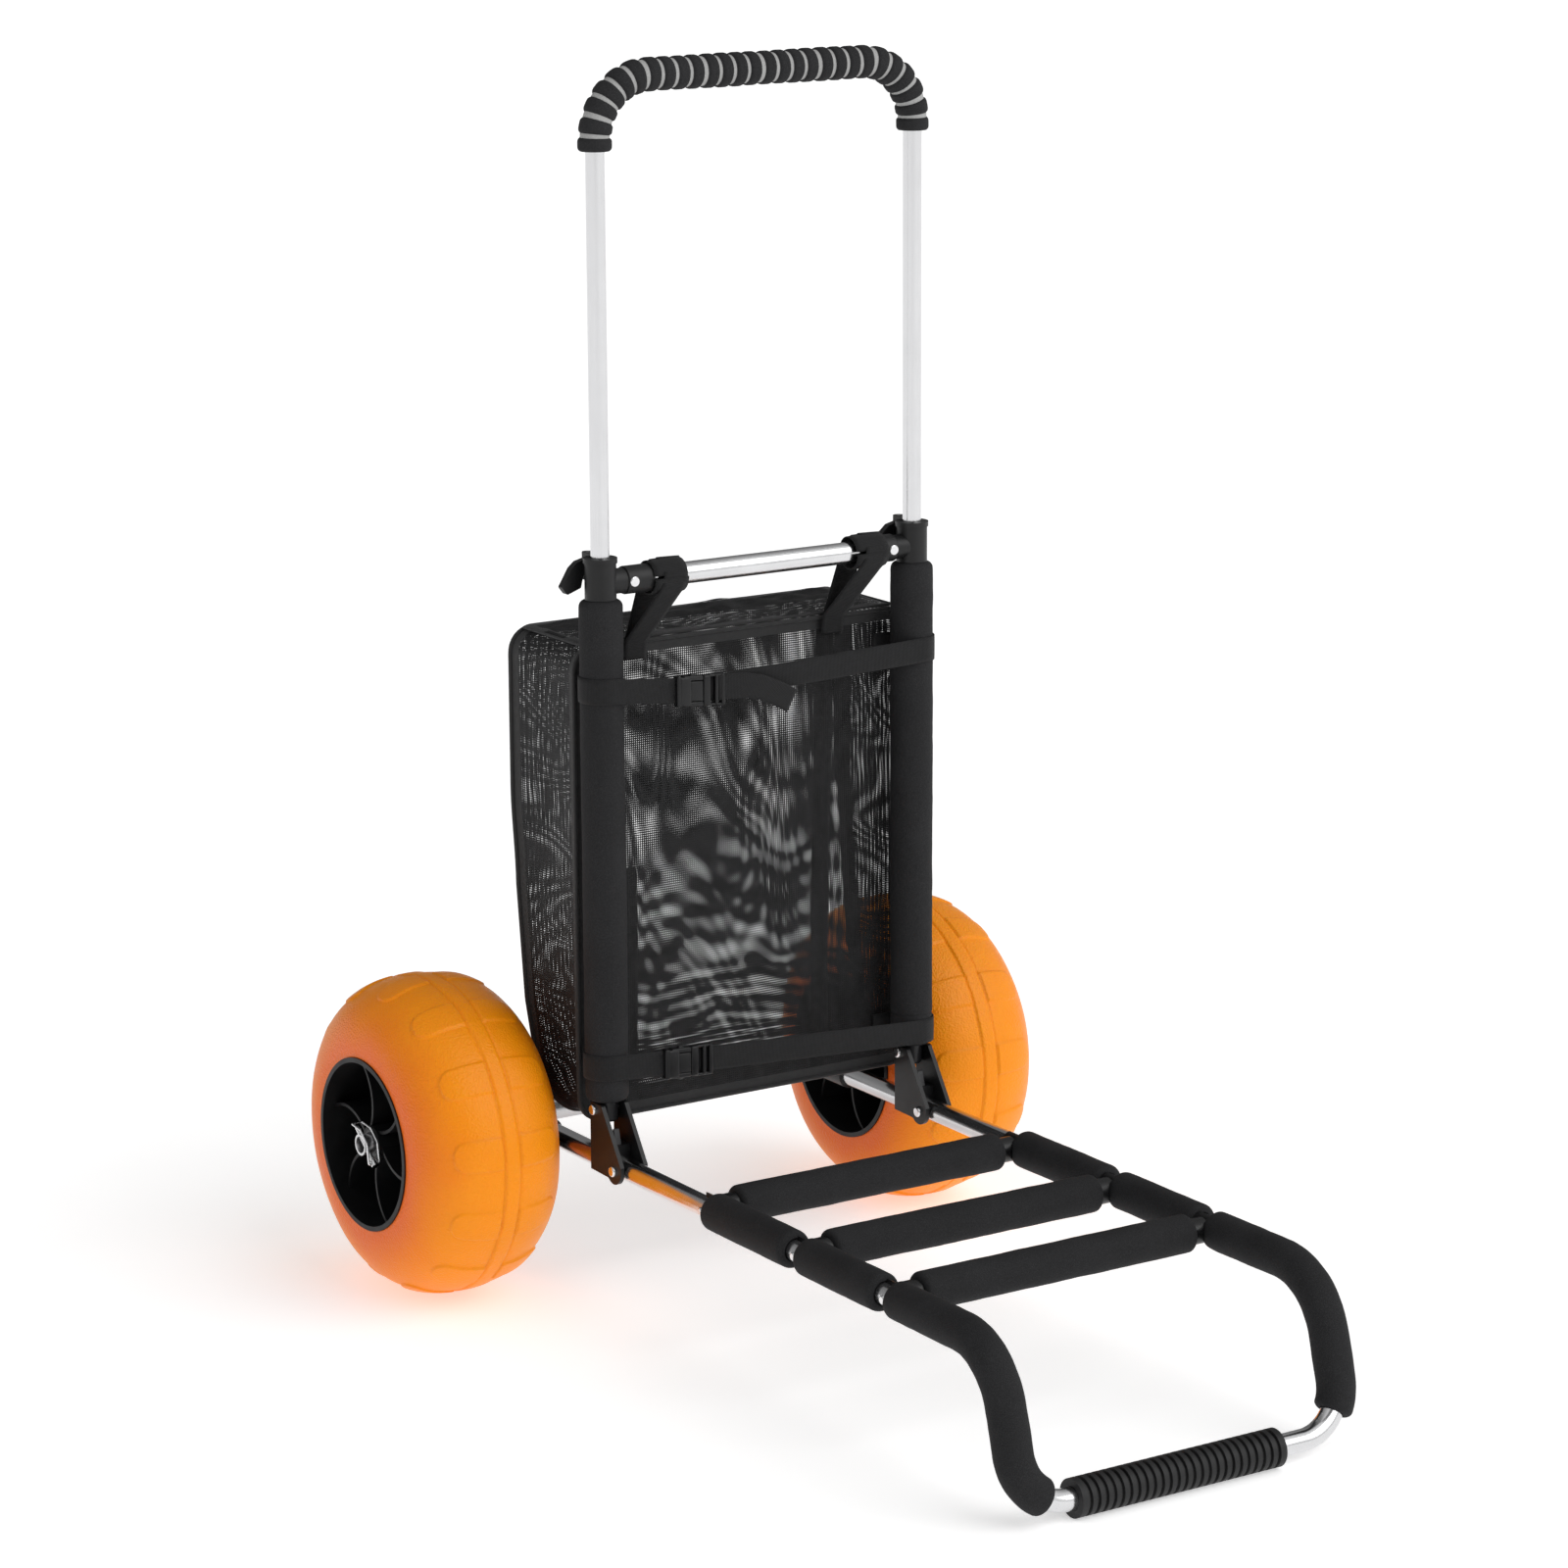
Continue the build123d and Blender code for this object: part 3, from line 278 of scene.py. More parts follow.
def mesh_material(name, seed, stretch, closed):
    """Open polyester mesh: a grid of holes whose share of open area drifts in long contour bands, as the
    threads crowd and spread over the sagging cloth. Towards the foot, and more so to the right, the holes
    close up as painted shade."""
    m = Nodes(name)
    v = m.coords("UV")
    split = m.node("ShaderNodeSeparateXYZ")
    m.link(v, split.inputs[0])
    turn = 2 * math.pi / 0.0023
    across = m.math("COSINE", m.math("MULTIPLY", split.outputs[0], turn))
    along = m.math("COSINE", m.math("MULTIPLY", split.outputs[1], turn))
    grid = m.math("ADD", across, along)
    shifted = m.tree.nodes.new("ShaderNodeVectorMath")
    shifted.operation = "ADD"
    m.link(v, shifted.inputs[0])
    shifted.inputs[1].default_value = (seed * 3.7, seed * 1.9, seed)
    place = m.tree.nodes.new("ShaderNodeMapping")
    place.inputs["Scale"].default_value = stretch
    m.link(shifted.outputs[0], place.inputs["Vector"])
    field = m.noise(place.outputs[0], 1.0, 1.4, 0.42, 0.35)
    bands = m.math("SINE", m.math("MULTIPLY", field, 150.0))
    crowd = m.noise(place.outputs[0], 2.6, 2.0, 0.5)
    # Threads close the hole where the threshold is high.
    level = m.math("ADD", m.math("MULTIPLY", bands, -0.55), m.grey(crowd, closed + 0.3, closed - 0.3))
    # Painted shade: the holes close towards the foot of each panel, more so to the right, darkening the
    # mesh there.
    painted_shade_low = m.grey(split.outputs[1], 0.35, 0.0, 0.22, 0.46)
    painted_shade_right = m.grey(split.outputs[0], 0.0, 0.55, 0.30, 0.48)
    level = m.math("ADD", level, m.math("MULTIPLY", painted_shade_low, m.math("ADD", painted_shade_right, 0.6)))
    hole = m.tree.nodes.new("ShaderNodeMapRange")
    m.link(m.math("SUBTRACT", grid, level), hole.inputs[0])
    hole.inputs[1].default_value = -0.25
    hole.inputs[2].default_value = 0.25
    hole.inputs[3].default_value = 1.0
    hole.inputs[4].default_value = 0.0
    fluff = m.noise(m.coords(), 120, 2.0)
    colour = m.ramp(fluff, (0.3, (0.0040, 0.0040, 0.0044)), (0.75, (0.011, 0.011, 0.012)))
    made = m.finish(colour, 0.6, m.bump(grid, 0.0002, 0.5), alpha=hole.outputs[0], Specular_IOR_Level=0.3)
    made.surface_render_method = "DITHERED"
    return made


def tyre_material(centre):
    """Blown orange plastic: leather-like grain, satin gloss, and painted shade: redder and darker towards
    the rim, yellower at the crown.
    """
    m = Nodes("tyre_orange")
    v = m.coords()
    split = m.node("ShaderNodeSeparateXYZ")
    m.link(v, split.inputs[0])
    dy = m.math("SUBTRACT", split.outputs[1], centre.y)
    dz = m.math("SUBTRACT", split.outputs[2], centre.z)
    radius = m.math("SQRT", m.math("ADD", m.math("MULTIPLY", dy, dy), m.math("MULTIPLY", dz, dz)))
    patch = m.noise(v, 14, 3.0, 0.5)
    # Painted shade: the colour runs from a darker red near the rim to a lighter yellow-orange at the crown.
    place = m.math("ADD", m.grey(radius, 0.0, 1.0, 0.095, 0.16), m.grey(patch, -0.12, 0.12))
    colour = m.ramp(
        place,
        (0.05, (0.86, 0.150, 0.008)),
        (0.55, (0.92, 0.235, 0.003)),
        (0.95, (0.95, 0.290, 0.002)),
    )
    grain = m.voronoi(v, 520, "SMOOTH_F1")
    pores = m.noise(v, 900, 2.0)
    normal = m.bump(grain, 0.0010, 0.7, m.bump(pores, 0.0003, 0.4))
    rough = m.grey(patch, 0.34, 0.44)
    return m.finish(
        colour,
        rough,
        normal,
        Specular_IOR_Level=0.22,
        Subsurface_Weight=0.12,
        Subsurface_Scale=0.004,
        Coat_Weight=0.05,
        Coat_Roughness=0.3,
    )


materials = {
    "foam": foam_material("foam_black", 1.7),
    "ring_foam": foam_material("ring_foam_black", 1.9),
    "grip_grey": grip_grey_material(),
    "tube_up": metal_material("aluminium_upright", (0.72, 0.72, 0.73), 0.17, (1, 1, 0.03)),
    "tube_along": metal_material("aluminium_rail", (0.72, 0.72, 0.73), 0.17, (1, 0.03, 1)),
    "tube_across": metal_material("aluminium_cross", (0.74, 0.74, 0.75), 0.17, (0.03, 1, 1)),
    "axle": metal_material("aluminium_axle", (0.66, 0.66, 0.67), 0.32, (0.03, 1, 1)),
    "black_tube": moulded_material("painted_tube_black", (0.010, 0.010, 0.011), 0.34, 600),
    "steel": metal_material("plated_steel", (0.82, 0.82, 0.83), 0.20, (1, 1, 1), 0.1),
    "moulded": moulded_material("moulded_black", (0.0085, 0.0085, 0.0090), 0.42),
    "rim": moulded_material("rim_black", (0.0045, 0.0045, 0.0050), 0.5),
    "saddle": moulded_material("saddle_black", (0.0065, 0.0065, 0.0070), 0.3),
    "buckle": moulded_material("buckle_black", (0.0060, 0.0060, 0.0065), 0.33),
    "clip": moulded_material("clip_grey", (0.05, 0.05, 0.052), 0.4),
    "rubber": moulded_material("rubber_grip_black", (0.0125, 0.0125, 0.0130), 0.55, 700),
    "webbing": webbing_material(),
    "binding": cloth_material(),
    "mesh_front": mesh_material("mesh_front", 1.0, (8.0, 3.0, 1.0), 0.85),
    "mesh_back": mesh_material("mesh_back", 5.0, (7.0, 3.0, 1.0), 0.80),
    "mesh_side": mesh_material("mesh_side", 3.0, (9.0, 3.0, 1.0), 1.25),
    "mesh_lid": mesh_material("mesh_lid", 9.0, (10.0, 14.0, 1.0), 1.25),
    "tyre": tyre_material(span("tyre_left")[2]),
}


# ================= Mesh helpers =================


def piece(
    name,
    verts,
    faces,
    material,
    body,
    nodes=(),
    uvs=None,
    smooth=True,
    second=None,
    second_faces=(),
):
    """A new mesh object that rides on a body and stands for CAD nodes; uvs are in metres."""
    data = bpy.data.meshes.new(name)
    data.from_pydata([tuple(v) for v in verts], [], [tuple(f) for f in faces])
    data.materials.append(materials[material])
    if second:
        data.materials.append(materials[second])
        for index in second_faces:
            data.polygons[index].material_index = 1
    if smooth:
        data.shade_smooth()
    if uvs is not None:
        layer = data.uv_layers.new(name="cloth")
        loops = np.empty(len(data.loops), dtype=np.int32)
        data.loops.foreach_get("vertex_index", loops)
        layer.data.foreach_set("uv", np.asarray(uvs, dtype=np.float32)[loops].ravel())
    data.update()
    made = bpy.data.objects.new(name, data)
    bpy.context.collection.objects.link(made)
    if nodes:
        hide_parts(*nodes)
    if body:
        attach(made, body)
    return made


def join(parts):
    """Several (verts, faces, uvs) as one."""
    verts, faces, uvs = [], [], []
    for part in parts:
        first = len(verts)
        verts += list(part[0])
        faces += [tuple(i + first for i in face) for face in part[1]]
        uvs += list(part[2])
    return verts, faces, uvs


def fillet_path(points, radii, step):
    """Dense samples along a polyline with rounded corners."""
    points = [Vector(p) for p in points]
    line = [points[0]]
    for before, corner, after, radius in zip(points, points[1:], points[2:], radii):
        a = (before - corner).normalized()
        b = (after - corner).normalized()
        angle = a.angle(b)
        cut = radius / math.tan(angle / 2)
        start, end = corner + a * cut, corner + b * cut
        middle = corner + (a + b).normalized() * (radius / math.sin(angle / 2))
        steps = max(4, int((math.pi - angle) * radius / step))
        u = (start - middle).normalized()
        w = (end - middle).normalized()
        turn = u.angle(w)
        for k in range(steps + 1):
            t = k / steps
            arc = (u * math.sin((1 - t) * turn) + w * math.sin(t * turn)) / math.sin(turn)
            line.append(middle + arc * radius)
    line.append(points[-1])
    return even(line, step)


def even(line, step):
    """Points a fixed distance apart along a line."""
    line = [Vector(p) for p in line]
    run = [0.0]
    for a, b in zip(line, line[1:]):
        run.append(run[-1] + (b - a).length)
    count = max(2, round(run[-1] / step) + 1)
    out, k = [], 0
    for n in range(count):
        s = run[-1] * n / (count - 1)
        while k < len(run) - 2 and run[k + 1] < s:
            k += 1
        share = (s - run[k]) / max(run[k + 1] - run[k], 1e-9)
        out.append(line[k].lerp(line[k + 1], share))
    return out


def frames(line, across):
    """Tangent, side and normal at each point of a line, the side kept near a given direction."""
    found = []
    side = Vector(across).normalized()
    for k, point in enumerate(line):
        a = line[max(k - 1, 0)]
        b = line[min(k + 1, len(line) - 1)]
        along = (b - a).normalized()
        side = (side - along * side.dot(along)).normalized()
        found.append((point, along, side, along.cross(side)))
    return found


def rings(sections, closed_ends=True):
    """Joins rings of equal counts into a skin, with a fan at each end."""
    count = len(sections[0])
    verts = [v for ring in sections for v in ring]
    faces = []
    for k in range(len(sections) - 1):
        for n in range(count):
            m = (n + 1) % count
            faces.append((k * count + n, k * count + m, (k + 1) * count + m, (k + 1) * count + n))
    if closed_ends:
        faces.append(tuple(reversed(range(count))))
        last = (len(sections) - 1) * count
        faces.append(tuple(last + n for n in range(count)))
    return verts, faces


def sleeve(
    line, outer, inner, lip, across=(1, 0, 0), segments=48, waver=0.0004, seed=0.0, shape=None
):
    """Foam sleeve along a line: rounded lips, open bore ends, slightly uneven skin."""
    found = frames(line, across)
    run = [0.0]
    for a, b in zip(line, line[1:]):
        run.append(run[-1] + (b - a).length)
    total = run[-1]
    table = []
    steps = 7
    for k in range(steps):
        turn = math.pi / 2 * k / steps
        table.append((lip - lip * math.cos(turn), lip * math.sin(turn) - lip))
    stations = []
    for depth, drop in table:
        stations.append((depth, outer + drop))
    body = [s for s in run if lip < s < total - lip]
    stations += [(s, outer) for s in body]
    stations += [(total - depth, outer + drop) for depth, drop in reversed(table)]
    stations = [(0.004, inner)] + [(0.0012, inner)] + [(0.0, inner + 0.0006)] + stations
    stations = stations + [(total, inner + 0.0006), (total - 0.0012, inner), (total - 0.004, inner)]
    sections = []
    for s, radius in stations:
        k = min(max(int(np.searchsorted(run, s)) - 1, 0), len(run) - 2)
        share = (s - run[k]) / (run[k + 1] - run[k])
        p0, _, s0, n0 = found[k]
        p1, _, s1, n1 = found[k + 1]
        p = p0.lerp(p1, share)
        side = s0.lerp(s1, share).normalized()
        normal = n0.lerp(n1, share).normalized()
        ring = []
        for n in range(segments):
            turn = 2 * math.pi * n / segments
            out = side * math.cos(turn) + normal * math.sin(turn)
            spot = p + out * radius
            if radius > inner + 0.001:
                soft = noise.noise(spot * 28 + Vector((seed, 0, 0))) + 0.5 * noise.noise(spot * 90)
                spot = spot + out * (soft * waver - waver * 0.4)
                if shape:
                    spot = shape(spot, p)
            ring.append(spot)
        sections.append(ring)
    verts, faces = rings(sections, closed_ends=False)
    return verts, faces, [(0, 0)] * len(verts)


def ribbon(line, across, width, thick, crown=0.25, columns=6):
    """Flat webbing along a line; across gives its width direction, and UVs run along it in metres."""
    sections, uvs = [], []
    run = 0.0
    half = width / 2
    outline = []
    for k in range(columns + 1):
        t = -1 + 2 * k / columns
        outline.append((t * half, thick / 2 * (1 - crown * t**4)))
    loop = outline + [(x, -y) for x, y in reversed(outline)]
    for k, point in enumerate(line):
        a = line[max(k - 1, 0)]
        b = line[min(k + 1, len(line) - 1)]
        if k:
            run += (point - line[k - 1]).length
        along = (b - a).normalized()
        side = Vector(across(k) if callable(across) else across)
        side = (side - along * side.dot(along)).normalized()
        normal = along.cross(side)
        sections.append([point + side * x + normal * y for x, y in loop])
        uvs += [(run, x + half) for x, _ in loop]
    verts, faces = rings(sections)
    return verts, faces, uvs


def tube_line(line, radius, across=(0, 0, 1), segments=12, closed=False, flat=1.0):
    """Round or flattened bead along a line."""
    found = frames(line, across)
    sections = []
    for point, _, side, normal in found:
        sections.append(
            [
                point
                + side * (math.cos(2 * math.pi * n / segments) * radius)
                + normal * (math.sin(2 * math.pi * n / segments) * radius * flat)
                for n in range(segments)
            ]
        )
    verts, faces = rings(sections, closed_ends=not closed)
    if closed:
        count, last = segments, (len(sections) - 1) * segments
        faces += [(last + n, last + (n + 1) % count, (n + 1) % count, n) for n in range(count)]
    run, uvs = 0.0, []
    for k, (point, *_) in enumerate(found):
        if k:
            run += (point - found[k - 1][0]).length
        uvs += [(run, n * radius * 2 * math.pi / segments) for n in range(segments)]
    return verts, faces, uvs


def rounded_box(low, high, bevel, segments=3):
    """Box with rounded edges, as lists."""
    bm = bmesh.new()
    bmesh.ops.create_cube(bm, size=1)
    low, high = Vector(low), Vector(high)
    size = high - low
    for vert in bm.verts:
        vert.co = Vector((vert.co.x * size.x, vert.co.y * size.y, vert.co.z * size.z)) + (low + high) / 2
    bmesh.ops.bevel(bm, geom=bm.edges[:], offset=bevel, segments=segments, profile=0.5, affect="EDGES")
    bm.verts.ensure_lookup_table()
    verts = [v.co.copy() for v in bm.verts]
    faces = [[v.index for v in f.verts] for f in bm.faces]
    bm.free()
    return verts, faces, [(0, 0)] * len(verts)


# ================= Camera, floor and light =================


camera_heading = 32.9008  # degrees to the left of straight ahead
studio_strength = 0.78
sun_strength = 1.1
sun_from = (0.55, -1.2, 1.1)
floor_glow = 0.45
# Softboxes by their heading from the camera's side: level of light at each heading.
studio_levels = (
    (-180, 0.22),
    (-125, 0.30),
    (-85, 0.62),
    (-30, 0.95),
    (-10, 0.42),
    (6, 0.08),
    (22, 0.45),
    (40, 1.10),
    (112, 1.10),
    (150, 0.55),
    (180, 0.22),
)


def make_camera():
    """Same viewing angle as the photograph, at its distance."""
    azimuth, elevation, roll = math.radians(-32.9008), math.radians(13.0297), math.radians(-0.2725)
    distance, focal, shift_x, shift_y = 4.91719, 5005.6446, 0.023682, -0.0754294
    back = Vector(
        (
            math.sin(azimuth) * math.cos(elevation),
            -math.cos(azimuth) * math.cos(elevation),
            math.sin(elevation),
        )
    )
    right = Vector((math.cos(azimuth), math.sin(azimuth), 0))
    up = back.cross(right)
    place = right * shift_x + up * shift_y + Vector((0, mast_y, 0.6)) + back * distance
    turned_right = right * math.cos(roll) + up * math.sin(roll)
    turned_up = up * math.cos(roll) - right * math.sin(roll)
    data = bpy.data.cameras.new("camera")
    data.sensor_width = 36
    data.sensor_fit = "HORIZONTAL"
    data.lens = focal / 1600 * 36
    data.clip_end = 60
    camera = bpy.data.objects.new("camera", data)
    bpy.context.collection.objects.link(camera)
    world = camera.matrix_world.copy()
    for row in range(3):
        world[row][0], world[row][1], world[row][2] = turned_right[row], turned_up[row], back[row]
        world[row][3] = place[row]
    camera.matrix_world = world
    bpy.context.scene.camera = camera


def make_stage():
    """Pale floor, a studio with dark gaps between its softboxes, and a soft sun from the upper right."""
    size = 30
    floor = bpy.data.meshes.new("floor")
    corners = [(-size, -size, 0), (size, -size, 0), (size, size, 0), (-size, size, 0)]
    floor.from_pydata(corners, [], [(0, 1, 2, 3)])
    m = Nodes("floor_white")
    speck = m.noise(m.coords(), 6, 2.0)
    m.finish(
        m.ramp(speck, (0.3, (0.90, 0.90, 0.90)), (0.7, (0.92, 0.92, 0.92))),
        0.9,
        Emission_Color=(1, 1, 1, 1),
        Emission_Strength=floor_glow,
    )
    floor.materials.append(m.material)
    made = bpy.data.objects.new("floor", floor)
    made.location.z = -0.0005
    bpy.context.collection.objects.link(made)
    world = bpy.data.worlds.new("studio")
    world.use_nodes = True
    tree = world.node_tree
    back = tree.nodes["Background"]
    back.inputs["Strength"].default_value = studio_strength
    split = tree.nodes.new("ShaderNodeSeparateXYZ")
    tree.links.new(tree.nodes.new("ShaderNodeTexCoord").outputs["Generated"], split.inputs[0])
    # Heading round the object from the camera's side, -180 to 180 degrees, as 0 to 1.
    turned = tree.nodes.new("ShaderNodeMath")
    turned.operation = "ARCTAN2"
    tree.links.new(split.outputs[0], turned.inputs[0])
    flipped = tree.nodes.new("ShaderNodeMath")
    flipped.operation = "MULTIPLY"
    flipped.inputs[1].default_value = -1
    tree.links.new(split.outputs[1], flipped.inputs[0])
    tree.links.new(flipped.outputs[0], turned.inputs[1])
    moved = tree.nodes.new("ShaderNodeMath")
    moved.operation = "ADD"
    moved.inputs[1].default_value = math.radians(camera_heading) + 3 * math.pi
    tree.links.new(turned.outputs[0], moved.inputs[0])
    wrapped = tree.nodes.new("ShaderNodeMath")
    wrapped.operation = "MODULO"
    wrapped.inputs[1].default_value = 2 * math.pi
    tree.links.new(moved.outputs[0], wrapped.inputs[0])
    share = tree.nodes.new("ShaderNodeMath")
    share.operation = "DIVIDE"
    share.inputs[1].default_value = 2 * math.pi
    tree.links.new(wrapped.outputs[0], share.inputs[0])
    ramp = tree.nodes.new("ShaderNodeValToRGB")
    bar = ramp.color_ramp
    while len(bar.elements) < len(studio_levels):
        bar.elements.new(0.5)
    for element, (heading, level) in zip(bar.elements, studio_levels):
        element.position = (heading + 180) / 360
        element.color = (level, level, level, 1)
    tree.links.new(share.outputs[0], ramp.inputs[0])
    tree.links.new(ramp.outputs[0], back.inputs["Color"])
    bpy.context.scene.world = world
    light = bpy.data.lights.new("sun", "SUN")
    light.energy = sun_strength
    light.angle = math.radians(50)
    lamp = bpy.data.objects.new("sun", light)
    lamp.rotation_mode = "QUATERNION"
    lamp.rotation_quaternion = Vector(sun_from).to_track_quat("Z", "Y")
    bpy.context.collection.objects.link(lamp)
    bpy.context.scene.view_settings.view_transform = "Standard"


make_camera()
make_stage()


# ================= CAD nodes that stay =================

keeps = {
    "axle": ("axle_tube",),
    "tube_along": ("side_rail_left", "side_rail_right", "front_loop"),
    "tube_across": ("deck_tubes", "cross_tube"),
    "tube_up": ("handle_tube",),
    "black_tube": ("upright_tube_left", "upright_tube_right"),
    "steel": (
        "bracket_bolts",
        "bracket_nuts",
        "deck_screws",
        "tee_rivets",
        "lever_pins",
        "linchpin_left",
        "linchpin_right",
        "linchpin_ring_left",
        "linchpin_ring_right",
    ),
    "saddle": (
        "deck_saddles_left",
        "deck_saddles_right",
        "axle_collars",
        "hub_bushes_left",
        "hub_bushes_right",
    ),
    "moulded": (
        "axle_saddle_left",
        "axle_saddle_right",
        "fold_bracket_left",
        "fold_bracket_right",
        "tee_left",
        "tee_right",
        "lever_left",
        "lever_right",
        "upright_plugs",
        "leg_glides",
    ),
    "rim": ("rim_left", "rim_right"),
    "clip": ("fold_clips",),
    "rubber": ("bar_grip",),
}
for material, names in keeps.items():
    for node in names:
        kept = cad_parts[node]
        kept.data.materials.clear()
        kept.data.materials.append(materials[material])


# ================= Foam on the deck and the loop =================

cup = 0.0134
foam_gap, foam_lip = 0.0003, 0.006


def scooped(cups):
    """Foam on a rail lies against the cups of the deck tubes instead of passing through them."""

    def shape(spot, middle):
        for y in cups:
            dy, dz = spot.y - y, spot.z - rail_z
            inside = abs(spot.x) < frame_x - 0.002
            if inside and dy * dy + dz * dz < cup * cup:
                reach = math.sqrt(max(cup * cup - dz * dz, 0))
                spot = Vector((spot.x, y + (reach if middle.y > y else -reach), spot.z))
        return spot

    return shape


for number in (1, 2, 3):
    low, high, middle = span(f"deck_foam_{number}")
    line = even([(low.x, middle.y, middle.z), (high.x, middle.y, middle.z)], 0.004)
    verts, faces, uvs = sleeve(line, foam_r, tube_r + foam_gap, foam_lip, (0, 0, 1), seed=number * 3.0)
    made = piece(
        f"deck_roller_foam_{number}", verts, faces, "foam", "base", (f"deck_foam_{number}",)
    )

for side, s in sides:
    parts = []
    for rear, front in zip(deck_ys, deck_ys[1:]):
        line = even([(s * frame_x, rear - 0.006, rail_z), (s * frame_x, front + 0.014, rail_z)], 0.003)
        parts.append(
            sleeve(
                line,
                foam_r,
                tube_r + foam_gap,
                foam_lip,
                (0, 0, 1),
                seed=rear * 50 + s,
                shape=scooped((rear, front)),
            )
        )
    verts, faces, uvs = join(parts)
    made = piece(f"rail_foam_pair_{side}", verts, faces, "foam", "base", (f"rail_foams_{side}",))

bar_mid = span("bar_grip")[2]
bar_y, bar_z = bar_mid.y, bar_mid.z
knee_y = bar_y + 0.040
turns = {"left": 62.0, "right": 40.0}
for side, s in sides:
    start = Vector((s * frame_x, deck_ys[2] - 0.006, rail_z))
    knee = Vector((s * frame_x, knee_y, rail_z))
    corner = Vector((s * frame_x, bar_y, bar_z))
    whole = fillet_path([start, knee, corner, (0, bar_y, bar_z)], [0.070, 0.050], 0.003)
    arm = (knee - corner).normalized()
    flat = Vector((-s, 0, 0))
    angle = arm.angle(flat)
    cut = 0.050 / math.tan(angle / 2)
    knee_turn = (start - knee).normalized().angle((corner - knee).normalized())
    knee_cut = 0.070 / math.tan(knee_turn / 2)
    length = (
        (knee - start).length
        - knee_cut
        + 0.070 * (math.pi - knee_turn)
        + (knee - corner).length
        - knee_cut
        - cut
        + 0.050 * math.radians(turns[side])
    )
    line, run = [whole[0]], 0.0
    for a, b in zip(whole, whole[1:]):
        run += (b - a).length
        if run > length:
            break
        line.append(b)
    verts, faces, uvs = sleeve(
        line,
        foam_r,
        tube_r + foam_gap,
        foam_lip,
        (0, 0, 1),
        seed=7.0 * s,
        waver=0.0006,
        shape=scooped((deck_ys[2],)),
    )
    made = piece(f"loop_sleeve_{side}", verts, faces, "foam", "base", (f"loop_foam_{side}",))


# ================= Foam on the uprights =================

mast_foam_lip = 0.007

for side, s in sides:
    low, high, middle = span(f"upright_foam_{side}")
    cut_z = low.z + 0.030
    line = even([(s * frame_x, mast_y, cut_z), (s * frame_x, mast_y, high.z)], 0.004)
    verts, faces, uvs = sleeve(
        line, mast_foam_r, tube_r + foam_gap, mast_foam_lip, (1, 0, 0), seed=11.0 * s, waver=0.0005
    )
    made = piece(
        f"upright_sleeve_{side}", verts, faces, "foam", "mast", (f"upright_foam_{side}",)
    )
    line = even([(s * frame_x, mast_y, low.z), (s * frame_x, mast_y, cut_z + 0.0075)], 0.002)
    verts, faces, uvs = sleeve(
        line, mast_foam_r - 0.0002, tube_r + foam_gap, mast_foam_lip, (1, 0, 0), seed=13.0 * s
    )
    made = piece(f"upright_sleeve_end_{side}", verts, faces, "foam", "mast")
    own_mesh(made)


# ================= Handle grip =================

grip_low = span("grip_sleeve")[0]
handle_top = span("handle_tube")[1]
handle_z = handle_top.z - (handle_top.x - frame_x)
route = fillet_path(
    [
        (-frame_x, mast_y, grip_low.z),
        (-frame_x, mast_y, handle_z),
        (frame_x, mast_y, handle_z),
        (frame_x, mast_y, grip_low.z),
    ],
    [0.060, 0.060],
    0.0009,
)
grip_length = sum((b - a).length for a, b in zip(route, route[1:]))
verts, faces, uvs = sleeve(even(route, 0.004), 0.0144, 0.0097, 0.001, (0, 1, 0), waver=0.0001)
made = piece("grip_core", verts, faces, "grip_grey", "handle", ("grip_sleeve",))

ring_count, ring_width, ring_radius = 28, 0.0126, 0.0166
pitch = (grip_length - ring_width) / (ring_count - 1)
step = grip_length / (len(route) - 1)
parts = []
for number in range(ring_count):
    first = number * pitch
    run = [route[min(round((first + ring_width * k / 14) / step), len(route) - 1)] for k in range(15)]
    found = frames(run, (0, 1, 0))
    wobble = 0.0002 * math.sin(number * 5.3)
    sections = []
    outline = [(0, 0.0146)]
    for k in range(15):
        t = -1 + 2 * k / 14
        outline.append((k, ring_radius - 0.0022 * abs(t) ** 5 + wobble))
    outline.append((14, 0.0146))
    for k, radius in outline:
        point, along, side, normal = found[k]
        ring = []
        for n in range(36):
            turn = 2 * math.pi * n / 36
            out = side * math.cos(turn) + normal * math.sin(turn)
            soft = noise.noise((point + out * radius) * 70) * 0.0003
            ring.append(point + out * (radius + soft))
        sections.append(ring)
    verts, faces = rings(sections, closed_ends=False)
    parts.append((verts, faces, [(0, 0)] * len(verts)))
verts, faces, uvs = join(parts)
made = piece("grip_foam_rings", verts, faces, "ring_foam", "handle", ("grip_rings",))


# ================= Tyres =================


